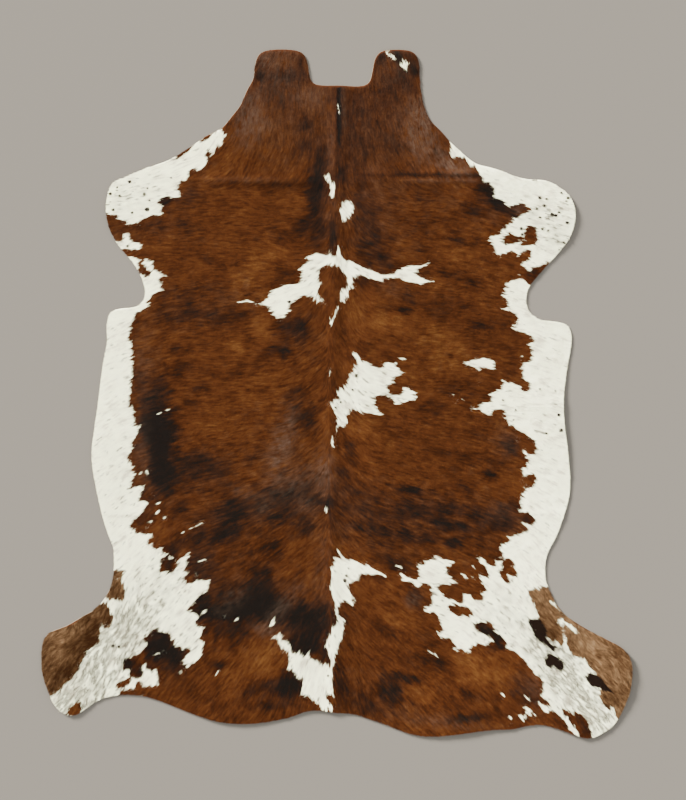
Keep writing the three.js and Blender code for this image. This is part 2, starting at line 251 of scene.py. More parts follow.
MARKINGS = [
    ("left shoulder", WHITE, [
        (226, 124), (219, 130), (226, 133), (226, 137), (223, 140), (222, 145), (220, 148),
        (217, 146), (212, 157), (208, 150), (205, 154), (208, 161), (205, 166), (201, 171),
        (198, 172), (193, 169), (189, 171), (189, 176), (187, 182), (181, 180), (178, 184),
        (178, 190), (182, 194), (178, 198), (172, 198), (168, 196), (163, 198), (157, 202),
        (163, 206), (161, 210), (163, 213), (160, 216), (150, 215), (144, 219), (140, 221),
        (139, 225), (134, 224), (130, 226), (125, 222), (118, 220), (118, 215), (113, 216),
        (107, 214), (95, 214), (95, 150), (160, 140), (220, 118),
    ]),
    ("left elbow", WHITE, [
        (124, 234), (128, 232), (131, 237), (133, 241), (139, 243), (141, 245), (139, 251),
        (133, 250), (125, 249), (118, 250), (114, 241), (123, 241),
    ]),
    ("left flank and leg", WHITE, [
        (131, 256), (137, 258), (142, 260), (145, 258), (150, 260), (155, 261), (153, 264),
        (155, 270), (160, 272), (168, 276), (160, 278), (160, 282), (163, 284), (162, 290),
        (157, 292), (150, 296), (149, 300), (150, 304), (147, 308), (141, 311), (136, 313),
        (135, 317), (132, 321), (131, 326), (130, 332), (130, 340), (132, 345), (133, 350),
        (130.4, 355), (132, 360), (133.6, 363.6), (132, 368.6), (132, 375.7), (130.4, 381.4),
        (130.7, 387), (132, 393), (129.6, 397), (128.6, 400.7), (129.3, 406.4), (133.6, 405),
        (132.6, 409.3), (131.4, 413), (133.6, 412.6), (135, 415.7), (136.4, 418), (134.3, 422),
        (135, 425.3), (139, 425.7), (142, 422), (140, 425.7), (139.3, 429.3), (138.6, 433),
        (135, 437), (132, 443), (132.4, 446.4), (135.7, 445.7), (133.6, 448.6), (130.7, 451.4),
        (128.6, 457), (128, 463), (130, 461.4), (132, 463), (133.6, 465.7), (135, 470.7),
        (136.4, 474.3), (135, 478.6), (131, 480.7), (130.3, 486.4), (133, 488), (135, 485.7),
        (138.6, 485), (144.7, 485), (144.3, 488.6), (141.4, 492), (140.7, 495.7), (139.3, 498),
        (139, 501), (145.7, 499.3), (148, 503.6), (145.7, 507), (142, 511.4), (140, 515.7),
        (138.6, 519.3), (133.6, 519.3), (132, 523), (131.4, 525.7), (133, 529), (135.7, 529.3),
        (136.4, 532), (140.7, 533), (144.3, 534.6), (148, 533), (153, 533.3), (152, 537),
        (148, 541.4), (146.7, 544.3), (151.4, 543.6), (154.3, 547), (158, 548), (161.4, 545),
        (163, 547), (162, 551.4), (165, 551.4), (167, 554.3), (169.3, 556.4), (170.7, 555),
        (174.3, 560), (178, 560.7), (180.7, 557), (185.7, 555.7), (188, 552), (190, 550.7),
        (195, 554.5), (189.3, 553.4), (188, 556.4), (186.7, 560), (186.4, 564.3), (184.3, 568),
        (187, 569.3), (186.4, 574.3), (184.3, 579.3), (185, 581), (188, 582), (191.7, 582.6),
        (197.4, 579.3), (200.7, 579.7), (205.3, 580), (210, 578.6), (209, 583.3), (208, 589),
        (207.4, 592.6), (202.4, 593.3), (199, 596), (194.6, 602), (189.6, 607.6), (188, 610.4),
        (189.6, 612.6), (194.6, 612.6), (199.6, 613.3), (196.7, 617), (195.3, 621),
        (197.4, 625.4), (200.3, 626), (202.4, 624.7), (206.7, 629), (202.4, 631), (201, 636),
        (203, 640.4), (204, 645.4), (201.4, 648.3), (201.4, 651), (204, 654), (201, 657),
        (197.4, 660.4), (194.6, 664), (191, 664), (187.4, 667.6), (185.3, 669), (186, 664),
        (181.7, 662), (181.7, 659.7), (186, 657), (187.4, 654.7), (191, 651), (186.7, 649),
        (181, 647.6), (176, 645.4), (171.7, 639), (169.6, 634), (165.3, 633.3), (161.7, 632),
        (158, 629.7), (153, 630.4), (150, 634.3), (148, 635.7), (143.6, 637), (143.6, 639.3),
        (148, 640), (147, 644.3), (146.4, 647), (141.4, 652), (140, 655), (133.6, 657),
        (128, 660), (123.6, 660.7), (122.4, 667), (124.3, 669.3), (130.7, 668), (129.3, 672),
        (130, 677), (140, 677.4), (144.3, 673.6), (141.4, 667), (143.6, 664.3), (146.4, 662),
        (148, 667), (149.3, 670), (155.3, 669), (156.7, 672.6), (159, 677), (161.7, 679),
        (156.7, 681), (158, 684.7), (164, 688.3), (160.3, 688.3), (155.3, 686), (149.3, 686.4),
        (145, 688.6), (140, 689.3), (143, 687), (142, 682), (140, 680.7), (136.4, 682),
        (135, 685.7), (134.3, 689.3), (123.6, 690), (120, 692), (118, 697), (60, 740), (20, 740),
        (20, 256),
    ]),
    ("right shoulder", WHITE, [
        (449.8, 143), (449.8, 152), (450.8, 160), (455.8, 157), (461.8, 157), (466.8, 160),
        (468.8, 164), (470.8, 167), (474.8, 167), (476.8, 171), (479.8, 177), (482.8, 178),
        (480.8, 183), (486.8, 182), (490.8, 184), (492.8, 190), (494.8, 194), (491.8, 199),
        (495.8, 198), (501.8, 199), (503.8, 204), (506.8, 207), (515.8, 205), (522.8, 203),
        (524.8, 207), (529.8, 207), (530.8, 210), (526.8, 211), (522.8, 215), (520.8, 217),
        (514.8, 217), (512.8, 220), (506.8, 225), (501.8, 229), (499.8, 234), (495.8, 236),
        (489.8, 236), (487.8, 240), (491.8, 243), (493.8, 247), (493.8, 254), (497.8, 254),
        (500.8, 257), (505.8, 252), (511.8, 251), (515.8, 254), (518.8, 257), (522.8, 253),
        (527.8, 249), (530.8, 252), (529.8, 258), (524.8, 262), (520.8, 266), (524.8, 268),
        (525.8, 271), (530.8, 272), (533.8, 267), (540.8, 266), (549, 262), (600, 262),
        (600, 150), (449.8, 130),
    ]),
    ("right flank and leg", WHITE, [
        (529.7, 284.7), (525.7, 280.7), (522.7, 278.7), (515.7, 279.7), (509.7, 280.7),
        (505.7, 285.7), (504.7, 291.7), (503.7, 297.7), (508.2, 304.7), (502.7, 309.7),
        (510.7, 311.7), (514.7, 314.7), (516.7, 318.7), (515.7, 323.7), (511.7, 329.7),
        (519.7, 331.7), (525.7, 333.7), (530.7, 336.7), (532.7, 341.7), (529.3, 345),
        (531.4, 350.7), (530.7, 357.1), (529.3, 362.1), (525, 362.7), (522.1, 361.4),
        (521.4, 357.7), (522.7, 355.7), (521.1, 352.1), (519.3, 357.7), (521.1, 361.4),
        (521.7, 367.7), (522, 373.6), (523, 378.6), (527, 382), (529, 385.7), (528, 392),
        (525, 393), (523, 390), (520.7, 386.4), (518, 385), (512, 382), (508.6, 383.6),
        (505, 380), (501.4, 378), (500.7, 380.7), (502, 385), (501.4, 389.3), (498, 389.3),
        (495, 393), (490.7, 391), (490, 393.6), (488.3, 395), (490.7, 397), (491, 400.7),
        (489.3, 402), (485, 402), (481.4, 405), (480, 408), (472, 408), (468, 403),
        (463.6, 398.6), (460, 399), (463.6, 400.7), (468.6, 405.7), (472, 410), (479.3, 410),
        (483, 413.6), (485.7, 415.7), (489.3, 414.3), (491.4, 411.4), (495, 409.3), (500, 410),
        (503, 413.6), (505.7, 418), (505.7, 422), (508.6, 425.7), (512, 424.3), (514.3, 428),
        (518, 430.7), (522, 433), (525.7, 434.3), (530, 438.6), (533, 440), (535.7, 447),
        (536.4, 452), (534.3, 455), (530, 455.7), (527, 452), (523.6, 449.3), (520.7, 445.7),
        (518.6, 440), (517, 436.4), (518.6, 443), (520, 448), (523, 453), (525, 456.4),
        (527, 459.3), (526.4, 463.6), (525.7, 468), (522, 468.6), (520.4, 469.3), (521.4, 473),
        (523.6, 476.4), (524.3, 478.6), (522, 481.4), (523.6, 487), (523, 493.6), (520.7, 496.4),
        (520, 499.7), (520.7, 503), (520, 508), (516.4, 511), (520.7, 512.6), (523, 511.4),
        (527.6, 512), (530.7, 515.7), (533.6, 518.6), (534.3, 522), (531.4, 525.7), (528, 524.3),
        (525, 522.6), (523, 523), (523, 525), (526.4, 527), (526.4, 530), (523.6, 532),
        (520.7, 530.7), (519.3, 531.4), (518.6, 534.3), (515.7, 536.4), (510.7, 535.7),
        (508, 536), (510, 539.3), (509.3, 542), (507, 544.3), (503.6, 543), (500, 545.7),
        (498.6, 547), (500.7, 550), (502, 553), (502, 558.6), (499, 561), (494, 560), (495, 564),
        (494, 567.3), (490, 564.5), (486.4, 560), (480, 557), (478.6, 553.6), (477.7, 561.4),
        (480.5, 563.6), (483.6, 566), (486.4, 570), (487.3, 575.5), (485.5, 577.3),
        (478.6, 573.6), (480.5, 580), (479.5, 584), (483.2, 584), (484.5, 586.8), (486, 590),
        (483.6, 591), (479, 592.7), (480.5, 595.5), (481.8, 599.5), (478.2, 600.5), (475.5, 601),
        (474, 598.6), (471, 595), (468, 594), (464, 594), (462, 595.5), (463.2, 600),
        (461.8, 604.5), (459, 603), (455, 600.5), (450, 600), (445, 595.5), (440, 590.5),
        (435.5, 586), (441, 584), (445.5, 583.6), (451.4, 583.2), (457.3, 582.3), (453.6, 579),
        (450.5, 576.4), (446.4, 570.5), (448.2, 565.5), (450.5, 563.6), (453.6, 563.6),
        (455, 562), (449, 560), (444.5, 559), (439.5, 557.3), (437.3, 556), (434.5, 556.4),
        (433, 558.6), (430, 560), (425, 560), (422.7, 555), (423.2, 561), (421, 564),
        (417.3, 564), (414.5, 563.2), (416.4, 565), (418.2, 568.6), (416.8, 571), (418.2, 574),
        (419, 576), (417.3, 578.6), (414, 579), (411, 576.4), (409.5, 578.2), (407.3, 576.4),
        (402.7, 572.7), (399, 571.4), (400, 574.5), (399.5, 579), (400.5, 581.8), (402, 580.5),
        (406.4, 580.5), (410, 582.3), (412.7, 585), (416.4, 588.2), (419, 586.4), (420, 585),
        (422.7, 583.2), (426, 583.2), (428.6, 585), (431, 588.2), (431.8, 592.7), (431, 597.3),
        (431, 602.7), (429, 606.4), (426.4, 607.7), (423.6, 609), (426, 612.3), (430, 612.3),
        (433.6, 612.3), (436.4, 614.5), (438.2, 619), (440, 624.5), (443.6, 630.5),
        (440.5, 631.4), (436.4, 632.3), (438.2, 636.4), (440, 640.5), (441, 638.2),
        (443.6, 637.3), (447.3, 637.3), (450, 640), (453.6, 643.6), (455, 646.4), (456.4, 648.2),
        (451, 648.6), (452.7, 649.5), (457.3, 649.5), (461, 649), (463.6, 649), (464.5, 652.3),
        (467.3, 652.7), (470, 651), (470.5, 648.2), (474, 647.3), (475, 644.5), (477.3, 643.2),
        (481, 643.6), (485.5, 645), (486.8, 643.2), (488.6, 641.8), (494.5, 641.4), (492.7, 639),
        (490, 637.7), (486.4, 635.5), (481, 633.2), (477.3, 631), (476, 628.2), (474.5, 625.5),
        (473.6, 621.8), (476.4, 622.3), (479.5, 621), (482.7, 621.4), (488.2, 621.4),
        (491, 623.2), (492.7, 627.3), (494.5, 631.8), (499, 634.5), (503.6, 639), (506, 642.7),
        (504.5, 646), (506.8, 648.6), (514.5, 651), (519, 655), (524, 660), (527, 665),
        (531, 670), (534, 674), (538, 675), (541, 679), (542.5, 685), (541.5, 690), (542, 693.5),
        (538.5, 693), (541, 697), (545, 699), (549, 703), (547, 706), (543, 705), (540, 702),
        (537, 700), (539, 705), (542, 710), (546, 713), (548, 710.5), (553, 709.5), (557, 713),
        (560, 716), (564, 720), (567, 725), (568, 729), (572, 731.5), (575, 734), (590, 760),
        (670, 760), (670, 284),
    ]),
    ("withers star", WHITE, [
        (338, 243.6), (340, 247.6), (342, 256.6), (344, 260.6), (350, 260.6), (357.2, 264.2),
        (363.2, 267.2), (371.2, 270.2), (377.2, 272.2), (381.2, 275.2), (389.2, 275.2),
        (394.2, 273.2), (401.2, 269.2), (409.2, 266.2), (416.2, 265.7), (422.2, 265.2),
        (425.2, 262.2), (429.2, 262.2), (427.2, 265.2), (421.2, 267.2), (417.2, 269.2),
        (415.2, 272.2), (421.2, 276.2), (425.2, 279.2), (437.2, 281.2), (425.2, 282.2),
        (421.2, 287.2), (417.2, 284.2), (411.2, 282.2), (404.2, 281.2), (399.2, 278.2),
        (391.2, 279.2), (381.2, 281.2), (376.2, 280.2), (369.2, 278.2), (363.2, 276.2),
        (357.2, 276.2), (354.2, 279.2), (351, 284.6), (355.2, 287.2), (350, 288.6), (349, 292.6),
        (348, 298.6), (344, 301.6), (340, 303.6), (336, 316.6), (332, 327.6), (328, 319.6),
        (333, 318.6), (334, 313.6), (336, 306.6), (340, 300.6), (339, 293.6), (341, 289.6),
        (346, 287.6), (348, 283.6), (346, 279.6), (346, 275.6), (342, 270.6), (338, 266.6),
        (330, 265.6), (325, 266.6), (320, 268.6), (318, 273.6), (318, 279.6), (321, 284.6),
        (319, 288.6), (316, 293.6), (320, 296.6), (323, 300.6), (325, 305.6), (320, 302.6),
        (315, 299.6), (310, 297.6), (305, 295.6), (300, 296.6), (297, 300.6), (293, 300.6),
        (290, 305.6), (289, 311.6), (286, 315.6), (283, 318.6), (276, 318.6), (272, 315.6),
        (271, 311.6), (268, 306.6), (263, 305.1), (263, 303.6), (265, 300.6), (268, 296.6),
        (270, 290.6), (277, 288.6), (285, 285.6), (292, 284.6), (299, 283.6), (300, 278.6),
        (300, 272.6), (296, 267.6), (303, 267.6), (306, 262.6), (308, 257.6), (312, 254.6),
        (318, 252.6), (323, 253.6), (328, 254.6), (330, 250.6), (332, 255.6), (336, 255.6),
        (337, 248.6),
    ]),
    ("upper dab", WHITE, [
        (323.3, 175.1), (328, 175.1), (331, 180), (334.8, 183.1), (335.7, 190), (333.8, 196.9),
        (328, 196), (331, 190), (329.9, 184), (326.1, 181),
    ]),
    ("lower dab", WHITE, [
        (347, 198.9), (353.9, 205), (352.8, 212), (350.9, 219.1), (345, 221.1), (341.1, 226.1),
        (341.1, 217.1), (339.1, 209), (342.1, 203.9),
    ]),
    ("right neck flap", WHITE, [
        (384.3, 53.5), (387.6, 53.9), (391, 55.1), (394.8, 56.9), (396.7, 59.4), (394.3, 59.8),
        (391.9, 58.5), (389.6, 56.9),
    ]),
    ("right neck flap corner", WHITE, [
        (401.8, 62), (402.1, 59), (404.1, 59), (405.4, 60), (406, 62.4), (409.2, 64.2),
        (410.9, 67.4), (407.5, 68.2), (407.9, 70.6), (405.8, 69.8), (402.1, 68.2), (398.6, 64.2),
        (401.4, 63.4),
    ]),
    ("back star", WHITE, [
        (352, 349.7), (353.6, 352), (358.6, 354.3), (360, 358), (361.4, 362), (368, 362),
        (373, 365.4), (380, 368.6), (383, 368), (380.7, 362), (384.3, 363), (390, 363.6),
        (398.6, 362), (395.7, 366.4), (400, 369.3), (403.6, 372), (400.7, 375), (396.4, 376.4),
        (393, 378.6), (392, 380), (394.3, 381.4), (391.4, 383.6), (387, 386.4), (389.3, 389.3),
        (390, 393), (393.6, 395), (398.6, 395), (403.6, 391.4), (404.3, 388.6), (408, 387),
        (411.4, 390), (416.4, 392), (417, 395), (415, 399.3), (407, 401.4), (401.4, 403.6),
        (395, 405.7), (393, 402), (390, 398), (384.3, 395.7), (378, 395.7), (374.3, 398.6),
        (375, 403.6), (377, 408.6), (383.6, 413.6), (379.3, 415.7), (373.6, 414.3),
        (368, 412.6), (363, 412), (364.3, 417), (361.4, 413.6), (358.6, 411.4), (353.6, 410.7),
        (349.3, 413), (347, 414.3), (348, 418), (347, 423), (345.7, 426.4), (342, 425.7),
        (338.6, 426.4), (338, 430), (337, 435), (336, 438.6), (335.7, 431.4), (336, 423),
        (335, 415.7), (333.6, 410), (331.4, 407), (330, 405.7), (330.7, 402), (335, 400),
        (338, 397), (336.4, 395), (335.7, 390.7), (340, 389), (343.6, 388), (346.4, 383),
        (348.6, 378), (349.3, 373.6), (353, 369.3), (356.4, 365), (357, 362), (354.3, 357),
        (352, 353.6),
    ]),
    ("spine dab", WHITE, [(333, 433), (334.5, 440), (334.3, 447), (329.7, 445.7), (331.4, 440)]),
    ("right barrel dab", WHITE, [
        (463, 363), (466.4, 361.4), (471.4, 361), (478.6, 359.3), (483, 358), (488, 359.7),
        (493.6, 360.7), (495.7, 364.3), (495, 368), (490.7, 370), (486.4, 368), (480.7, 366.4),
        (478.6, 370.7), (475.7, 370.7), (473.6, 368), (468.6, 365.7), (463.6, 364.6),
    ]),
    ("rump stripe", WHITE, [
        (338, 550.7), (341.4, 552), (343.6, 556.4), (345.7, 559.3), (352, 560), (358.6, 562),
        (363, 564.3), (369.3, 564.3), (373, 568.6), (380, 571.4), (383.6, 573), (388.6, 577.4),
        (383, 575.7), (379.3, 573.6), (371.4, 574.3), (364.3, 574.3), (359.3, 575.7),
        (359.3, 579.3), (354.3, 581.4), (349.3, 584.3), (348, 586.4), (350, 590), (352, 595),
        (355, 598), (353.6, 603), (356, 609), (351.4, 604.3), (345.7, 600), (342, 601),
        (340.7, 604.3), (339.3, 611.4), (340, 615.7), (341.7, 619.3), (343, 618), (347, 622),
        (345, 627), (343.6, 631.4), (343, 640), (340.7, 640.7), (338.6, 643.6), (338, 649.7),
        (337, 653.6), (335.7, 658.6), (335.4, 663), (335, 668.6), (332, 673), (333, 678.6),
        (332.6, 685.7), (333.6, 692), (335, 696.4), (333.6, 697), (331.4, 695), (328, 693),
        (325.7, 696.4), (327, 700), (329.3, 703), (332, 705), (333.6, 710), (328.6, 708.6),
        (326.4, 710), (324.3, 710.7), (321.4, 708.6), (318, 703), (313, 701.4), (309.3, 697),
        (304.3, 696.4), (299.3, 696.4), (301.4, 690), (302, 684.3), (303, 680), (297, 678.6),
        (295.7, 673.6), (292, 670.7), (285.7, 670.7), (289.3, 665.7), (289, 660),
        (289.3, 655.7), (287, 653), (283, 650.7), (279.3, 648), (278.6, 641.4), (275.7, 639.3),
        (268.6, 639.3), (270, 637), (276.4, 635), (278.6, 632), (280.7, 634.3), (281.4, 638.6),
        (285.7, 640), (288.6, 642), (290, 643), (290.7, 648.6), (293, 650.7), (298.6, 652),
        (301.4, 655), (304.3, 655), (310, 652), (309.3, 656.4), (313, 659.3), (318, 660),
        (322, 663), (325.7, 665), (330, 665), (330.7, 661.4), (329.3, 656.4), (327.4, 652),
        (326.4, 648.6), (323, 645.7), (325.7, 643.6), (326.4, 639.3), (329.3, 637),
        (330.7, 631.4), (331.4, 627), (335.7, 623.6), (337, 620), (335.4, 615.7), (335, 608.6),
        (333.6, 600.7), (331.4, 594.3), (330.7, 588.6), (328.3, 585), (330.7, 583),
        (330.7, 577), (331.4, 571.4), (330.7, 567), (333, 563), (332, 560), (335.7, 558),
        (338.6, 557), (338, 553),
    ]),
    ("rump dab", WHITE, [
        (268, 628.6), (270, 624), (272, 619.3), (274, 617), (275.7, 621.4), (273.6, 625),
    ]),
    ("left edge bit", BROWN, [
        (199, 139), (208, 132), (217, 126), (218, 130), (210, 137), (201, 142),
    ]),
    ("left edge bit, lower", BROWN, [
        (175, 156), (184, 149), (191, 145), (192, 149), (184, 154), (178, 159),
    ]),
    ("left elbow island", BROWN, [
        (138, 262), (142, 261), (144, 266), (147, 270), (152, 272), (149, 276), (143, 274),
        (139, 271),
    ]),
    ("left hip island", BROWN, [
        (160.7, 560), (161.4, 558.3), (164.3, 557), (167, 558), (169.3, 560), (175.7, 561.4),
        (177.6, 565.7), (176.4, 568.6), (173.6, 570.7), (170, 572), (165, 570), (160.7, 571.4),
        (159.3, 564.3),
    ]),
    ("left hock island", BROWN, [
        (115.7, 684.3), (120.7, 681.4), (123.6, 679.3), (130, 679.3), (130, 683.6),
        (125, 685.7), (121.4, 688.6), (118, 686.4),
    ]),
    ("right shoulder island", BROWN, [
        (501.5, 239.5), (504.8, 236.5), (510.3, 232.5), (514.6, 236.3), (520, 236.5), (523, 238.5),
        (521, 241), (516.8, 243), (510.3, 244.5), (505.5, 243.8),
    ]),
    ("right shoulder island, outer", BROWN, [
        (525.5, 228), (528.7, 226), (533, 226), (536, 228), (534.5, 231), (535.5, 236), (537, 239),
        (535, 242), (532, 245.5), (525.4, 246), (521, 245.5), (521.5, 242.5), (525, 240),
        (525, 234), (526, 231),
    ]),
    ("right flank island", BROWN, [
        (527, 475.7), (530, 473.6), (533.6, 474.3), (535.3, 478), (533.6, 483), (530.7, 487),
        (527, 489.3), (525, 486.4), (524, 480.7),
    ]),
    ("right hip island", BROWN, [
        (449, 605.5), (450, 604.5), (454.5, 604), (459, 606), (462, 607), (465, 606.5),
        (469, 608.5), (471.4, 611.4), (471.8, 614.5), (468, 616.8), (464.5, 614.5),
        (459, 616), (455.5, 614.5), (451, 611.5), (449, 608),
    ]),
    ("right hip island, outer", BROWN, [
        (503.6, 560), (506.4, 557.7), (510, 559), (512.7, 562.3), (514.5, 567.3),
        (514.5, 570), (516.4, 577.3), (513.6, 576.4), (508, 574), (507.3, 577), (510, 582.7),
        (507.7, 584), (504.5, 580), (501, 576.4), (498.6, 573), (500, 570), (503.6, 570),
        (504, 566.4), (502.3, 563),
    ]),
    ("right hock, lower", BROWN, [
        (562, 709), (568, 709.5), (571, 713), (574, 715), (577, 712.5), (581, 714), (584, 718),
        (588, 724), (590, 730), (593, 742), (580, 742), (579, 733), (577, 729), (573, 726),
        (571, 722), (568, 717), (564, 715),
    ]),
    ("right hip hole", WHITE, [
        (458, 572.7), (461, 574), (465.5, 574.5), (467.3, 576.4), (468, 582), (466, 580),
        (462.7, 576),
    ]),
    ("right hip hole, upper", WHITE, [
        (471, 566.5), (473, 565.3), (475.5, 567), (474.5, 569.2), (471.5, 568.8),
    ]),
    ("left leg", TAN, [
        (100.7, 604.3), (105, 602), (108.6, 607), (110.7, 613), (113.3, 618.6), (112, 623.6),
        (108.6, 626.4), (105, 625.7), (104.3, 620.7), (103.3, 620.7), (102, 626.4),
        (100, 630.7), (99.3, 635.7), (99.3, 640), (98.6, 643), (95, 644.3), (90.7, 648),
        (86.4, 651.4), (84.3, 658), (80.7, 663), (78.6, 669.3), (74.3, 674.3), (71.4, 678),
        (68.6, 680), (65.7, 680.7), (63.6, 684.3), (62, 688), (58, 689.3), (55.7, 693),
        (51.4, 695), (30, 700), (30, 610), (90, 590),
    ]),
    ("left leg islet", TAN, [
        (106, 598), (106.5, 592), (110, 588), (114, 585), (123, 585), (125.5, 588), (124.5, 594),
        (124, 598.5), (121, 601), (118, 598.5), (113, 597), (110, 599),
    ]),
    ("left leg islet, middle", TAN, [(108, 579), (122.4, 578), (121.5, 584), (108, 584.5)]),
    ("left leg islet, upper", TAN, [(108, 571), (124, 571), (123, 577), (108, 577.5)]),
    ("left leg tip", BROWN, [
        (68, 714.3), (68.6, 710.7), (72, 705.7), (76.4, 702), (80.7, 701.4), (82, 704.3),
        (81.4, 709.3), (78, 716),
    ]),
    ("right thigh", TAN, [
        (546.4, 586), (538, 588.6), (530.7, 589.3), (528.5, 590), (530, 597), (531, 600),
        (534.5, 604), (537, 610), (539, 616), (540, 620), (543, 626), (545, 632), (549, 638),
        (554, 642), (557, 641), (560.5, 645), (564, 641), (563, 635), (562, 630), (564, 626),
        (575, 600), (556, 584),
    ]),
    ("right leg", TAN, [
        (564, 626), (566, 633), (567, 640), (568.5, 645), (570.5, 651), (573, 655),
        (576, 656.5), (579, 657), (584, 658), (588, 663), (590, 667), (594, 671), (597, 673),
        (600.5, 688), (600.5, 694), (602, 702), (606, 707), (611, 710), (615, 710.5),
        (616, 715), (618, 719), (650, 717), (650, 600), (562, 608),
    ]),
    ("right thigh slit", WHITE, [
        (549, 601), (557, 606.5), (561, 611), (563.5, 618), (566, 622), (570, 624.5),
        (575, 628.5), (579.5, 632), (575, 632.5), (569, 628), (564.8, 625), (561, 626.5),
        (557.5, 624), (555.5, 620), (560.5, 618), (561.5, 615), (558, 610),
    ]),
    ("thigh spot", BLACK, [
        (530.5, 619), (535.8, 619), (540.5, 620.5), (543.5, 624.7), (545.5, 630), (545.5, 636),
        (548, 641), (552.5, 644), (555.5, 647), (553, 651), (548, 648), (542, 642),
        (537.5, 638.5), (534, 635), (532, 627), (530, 623.5),
    ]),
    ("hock spot", BLACK, [
        (545.5, 661.5), (547.5, 656), (549, 652.5), (553, 655.5), (557, 657.5), (561, 659),
        (563, 662.5), (560.5, 671), (557, 668), (553.1, 665), (551.5, 668), (547.5, 667.5),
    ]),
    ("shin spot", BLACK, [
        (586, 676.6), (591.6, 673), (598.3, 675.5), (603.5, 681.6), (607, 687.2),
        (612, 692.5), (604, 690), (598.3, 687), (593.5, 687), (589, 682),
    ]),
    ("right hock dab", WHITE, [
        (523, 705), (528, 707), (532, 711), (529.5, 714.5), (527, 717), (522.5, 721),
        (517, 715), (523.5, 716.5), (525.8, 711.7),
    ]),
    ("right hock dab, outer", WHITE, [
        (533, 711), (537, 714), (535, 716.2), (537, 722), (534.7, 720), (533.3, 715),
    ]),
    ("right hock dab, inner", WHITE, [
        (507, 714.5), (513, 715), (513, 719), (511, 721), (510, 727), (508, 726), (509, 720),
    ]),
    ("right hock dab, upper", WHITE, [(499.5, 693), (503.5, 693), (505.5, 697), (502, 696.5)]),
    ("right hock dab, middle", WHITE, [
        (524, 695), (529, 697.5), (531, 700), (527, 700.5),
    ]),
]

# White dashes in the brown: from one place to another, with their width in squares.

DASHES = table("across down to_across to_down wide", [
    [157, 415, 160, 412, 1.5], [165, 411, 170, 409, 1.5], [145.7, 475, 149.3, 468.6, 1.5],
    [138, 475.7, 143.6, 470, 1.0], [153.6, 496, 155.7, 494, 1.4], [156.4, 505.5, 161, 502, 2.0],
    [155.3, 515, 159.3, 510.5, 2.0], [163.6, 519.5, 167, 515.7, 1.4],
    [149.3, 523.6, 153.6, 520, 1.4], [144.3, 528.6, 149.3, 527, 1.3],
    [188.6, 529.3, 203.6, 522, 1.2], [180.5, 534, 183.5, 532, 1.7], [198, 562, 205, 560, 2.0],
    [194.3, 577, 197, 575, 1.6], [202, 613.6, 206.4, 610, 2.4], [220.7, 612, 225, 610.7, 1.3],
    [223.5, 617.3, 225, 616.8, 1.2], [234.3, 621.4, 238.6, 617, 1.5],
    [178.6, 673, 183, 670.7, 1.8], [216, 675, 220, 669, 1.3], [152.9, 655.7, 164.3, 651.4, 1.6],
    [337.5, 105, 339.5, 114, 1.3], [336.8, 126, 337.3, 128, 1.0], [330, 369, 330.3, 376, 1.0],
    [397, 358, 407, 359.3, 1.0], [407, 365.4, 410, 366, 1.0], [405, 382, 408.6, 383, 1.0],
    [465.7, 373.6, 470.7, 376.4, 1.3], [478, 383, 483, 388, 1.5],
    [451.4, 394.3, 455.7, 395.7, 1.2], [455, 401.4, 458, 403, 1.2], [470, 575, 474.5, 579.5, 1.3],
    [447, 584, 453, 594, 1.3], [395.5, 565, 402.7, 568, 1.5], [428.2, 650, 435, 654.5, 1.5],
    [435, 654.8, 440, 657, 0.9], [326.3, 505, 326.7, 513, 1.4], [142, 694, 144, 694, 1.8],
    [262, 194, 269, 198, 0.7], [237, 303, 247, 301.5, 1.3], [246, 301, 253, 302.6, 2.4],
    [253, 304, 265, 304, 1.2], [548, 599, 556, 605, 1.2], [514, 256, 519, 257, 0.8],
    [516, 276, 521, 274, 0.8],
])

# Dark specks: small round spots, most of them in the white, with their size in squares.

SPECKS = table("across down size", [
    [129.3, 182, 3.0], [110.3, 194, 2.6], [119.7, 196.3, 2.8], [144.3, 194, 2.6],
    [147, 209.5, 4.2], [113.2, 210, 2.7], [132.2, 213, 1.8], [127.6, 246.3, 2.4],
    [117, 187.6, 1.7], [147.5, 188.5, 1.7], [149.4, 200.6, 1.6], [171, 178, 1.6],
    [110, 202.3, 1.4], [116.6, 190.5, 1.4], [539.8, 198, 2.8], [546.7, 199.4, 1.8],
    [544.3, 206, 3.0], [536.8, 209, 2.0], [540, 217.6, 2.4], [552.4, 215, 3.6],
    [555.8, 215.8, 2.6], [559, 212.6, 2.0], [567, 223, 2.7], [521.4, 228.9, 3.0],
    [522.4, 234.8, 2.6], [542.5, 229.2, 2.2], [548, 230.8, 2.0], [563.6, 242.8, 2.8],
    [561.2, 193.5, 2.2], [568, 198, 2.4], [533, 179.6, 3.0], [535.5, 179.6, 3.0],
    [506, 244.5, 1.6], [566, 201.5, 1.6], [559, 250, 1.6], [558.6, 415, 2.8], [560.7, 430.3, 3.6],
    [546, 433, 2.0], [540, 389, 1.4], [555, 391, 1.4], [503, 400, 1.6], [515.7, 410, 1.4],
    [513.6, 420, 1.4], [289, 302, 3.2], [356.4, 375.7, 3.4], [353, 390, 2.0], [338.6, 397, 2.0],
    [340.7, 402, 2.0], [336, 408, 2.2], [346.4, 575.7, 2.6], [345, 580.7, 3.2],
    [348.6, 568.6, 1.8], [328, 675.7, 1.8], [112.8, 645.8, 3.4], [119, 647, 2.2], [555, 666, 1.8],
    [502, 645, 1.6],
])

# Tone of the brown: soft ovals, with their half lengths and half widths in squares, the way they
# lie, and how much darker they are, or lighter where it is below nought.

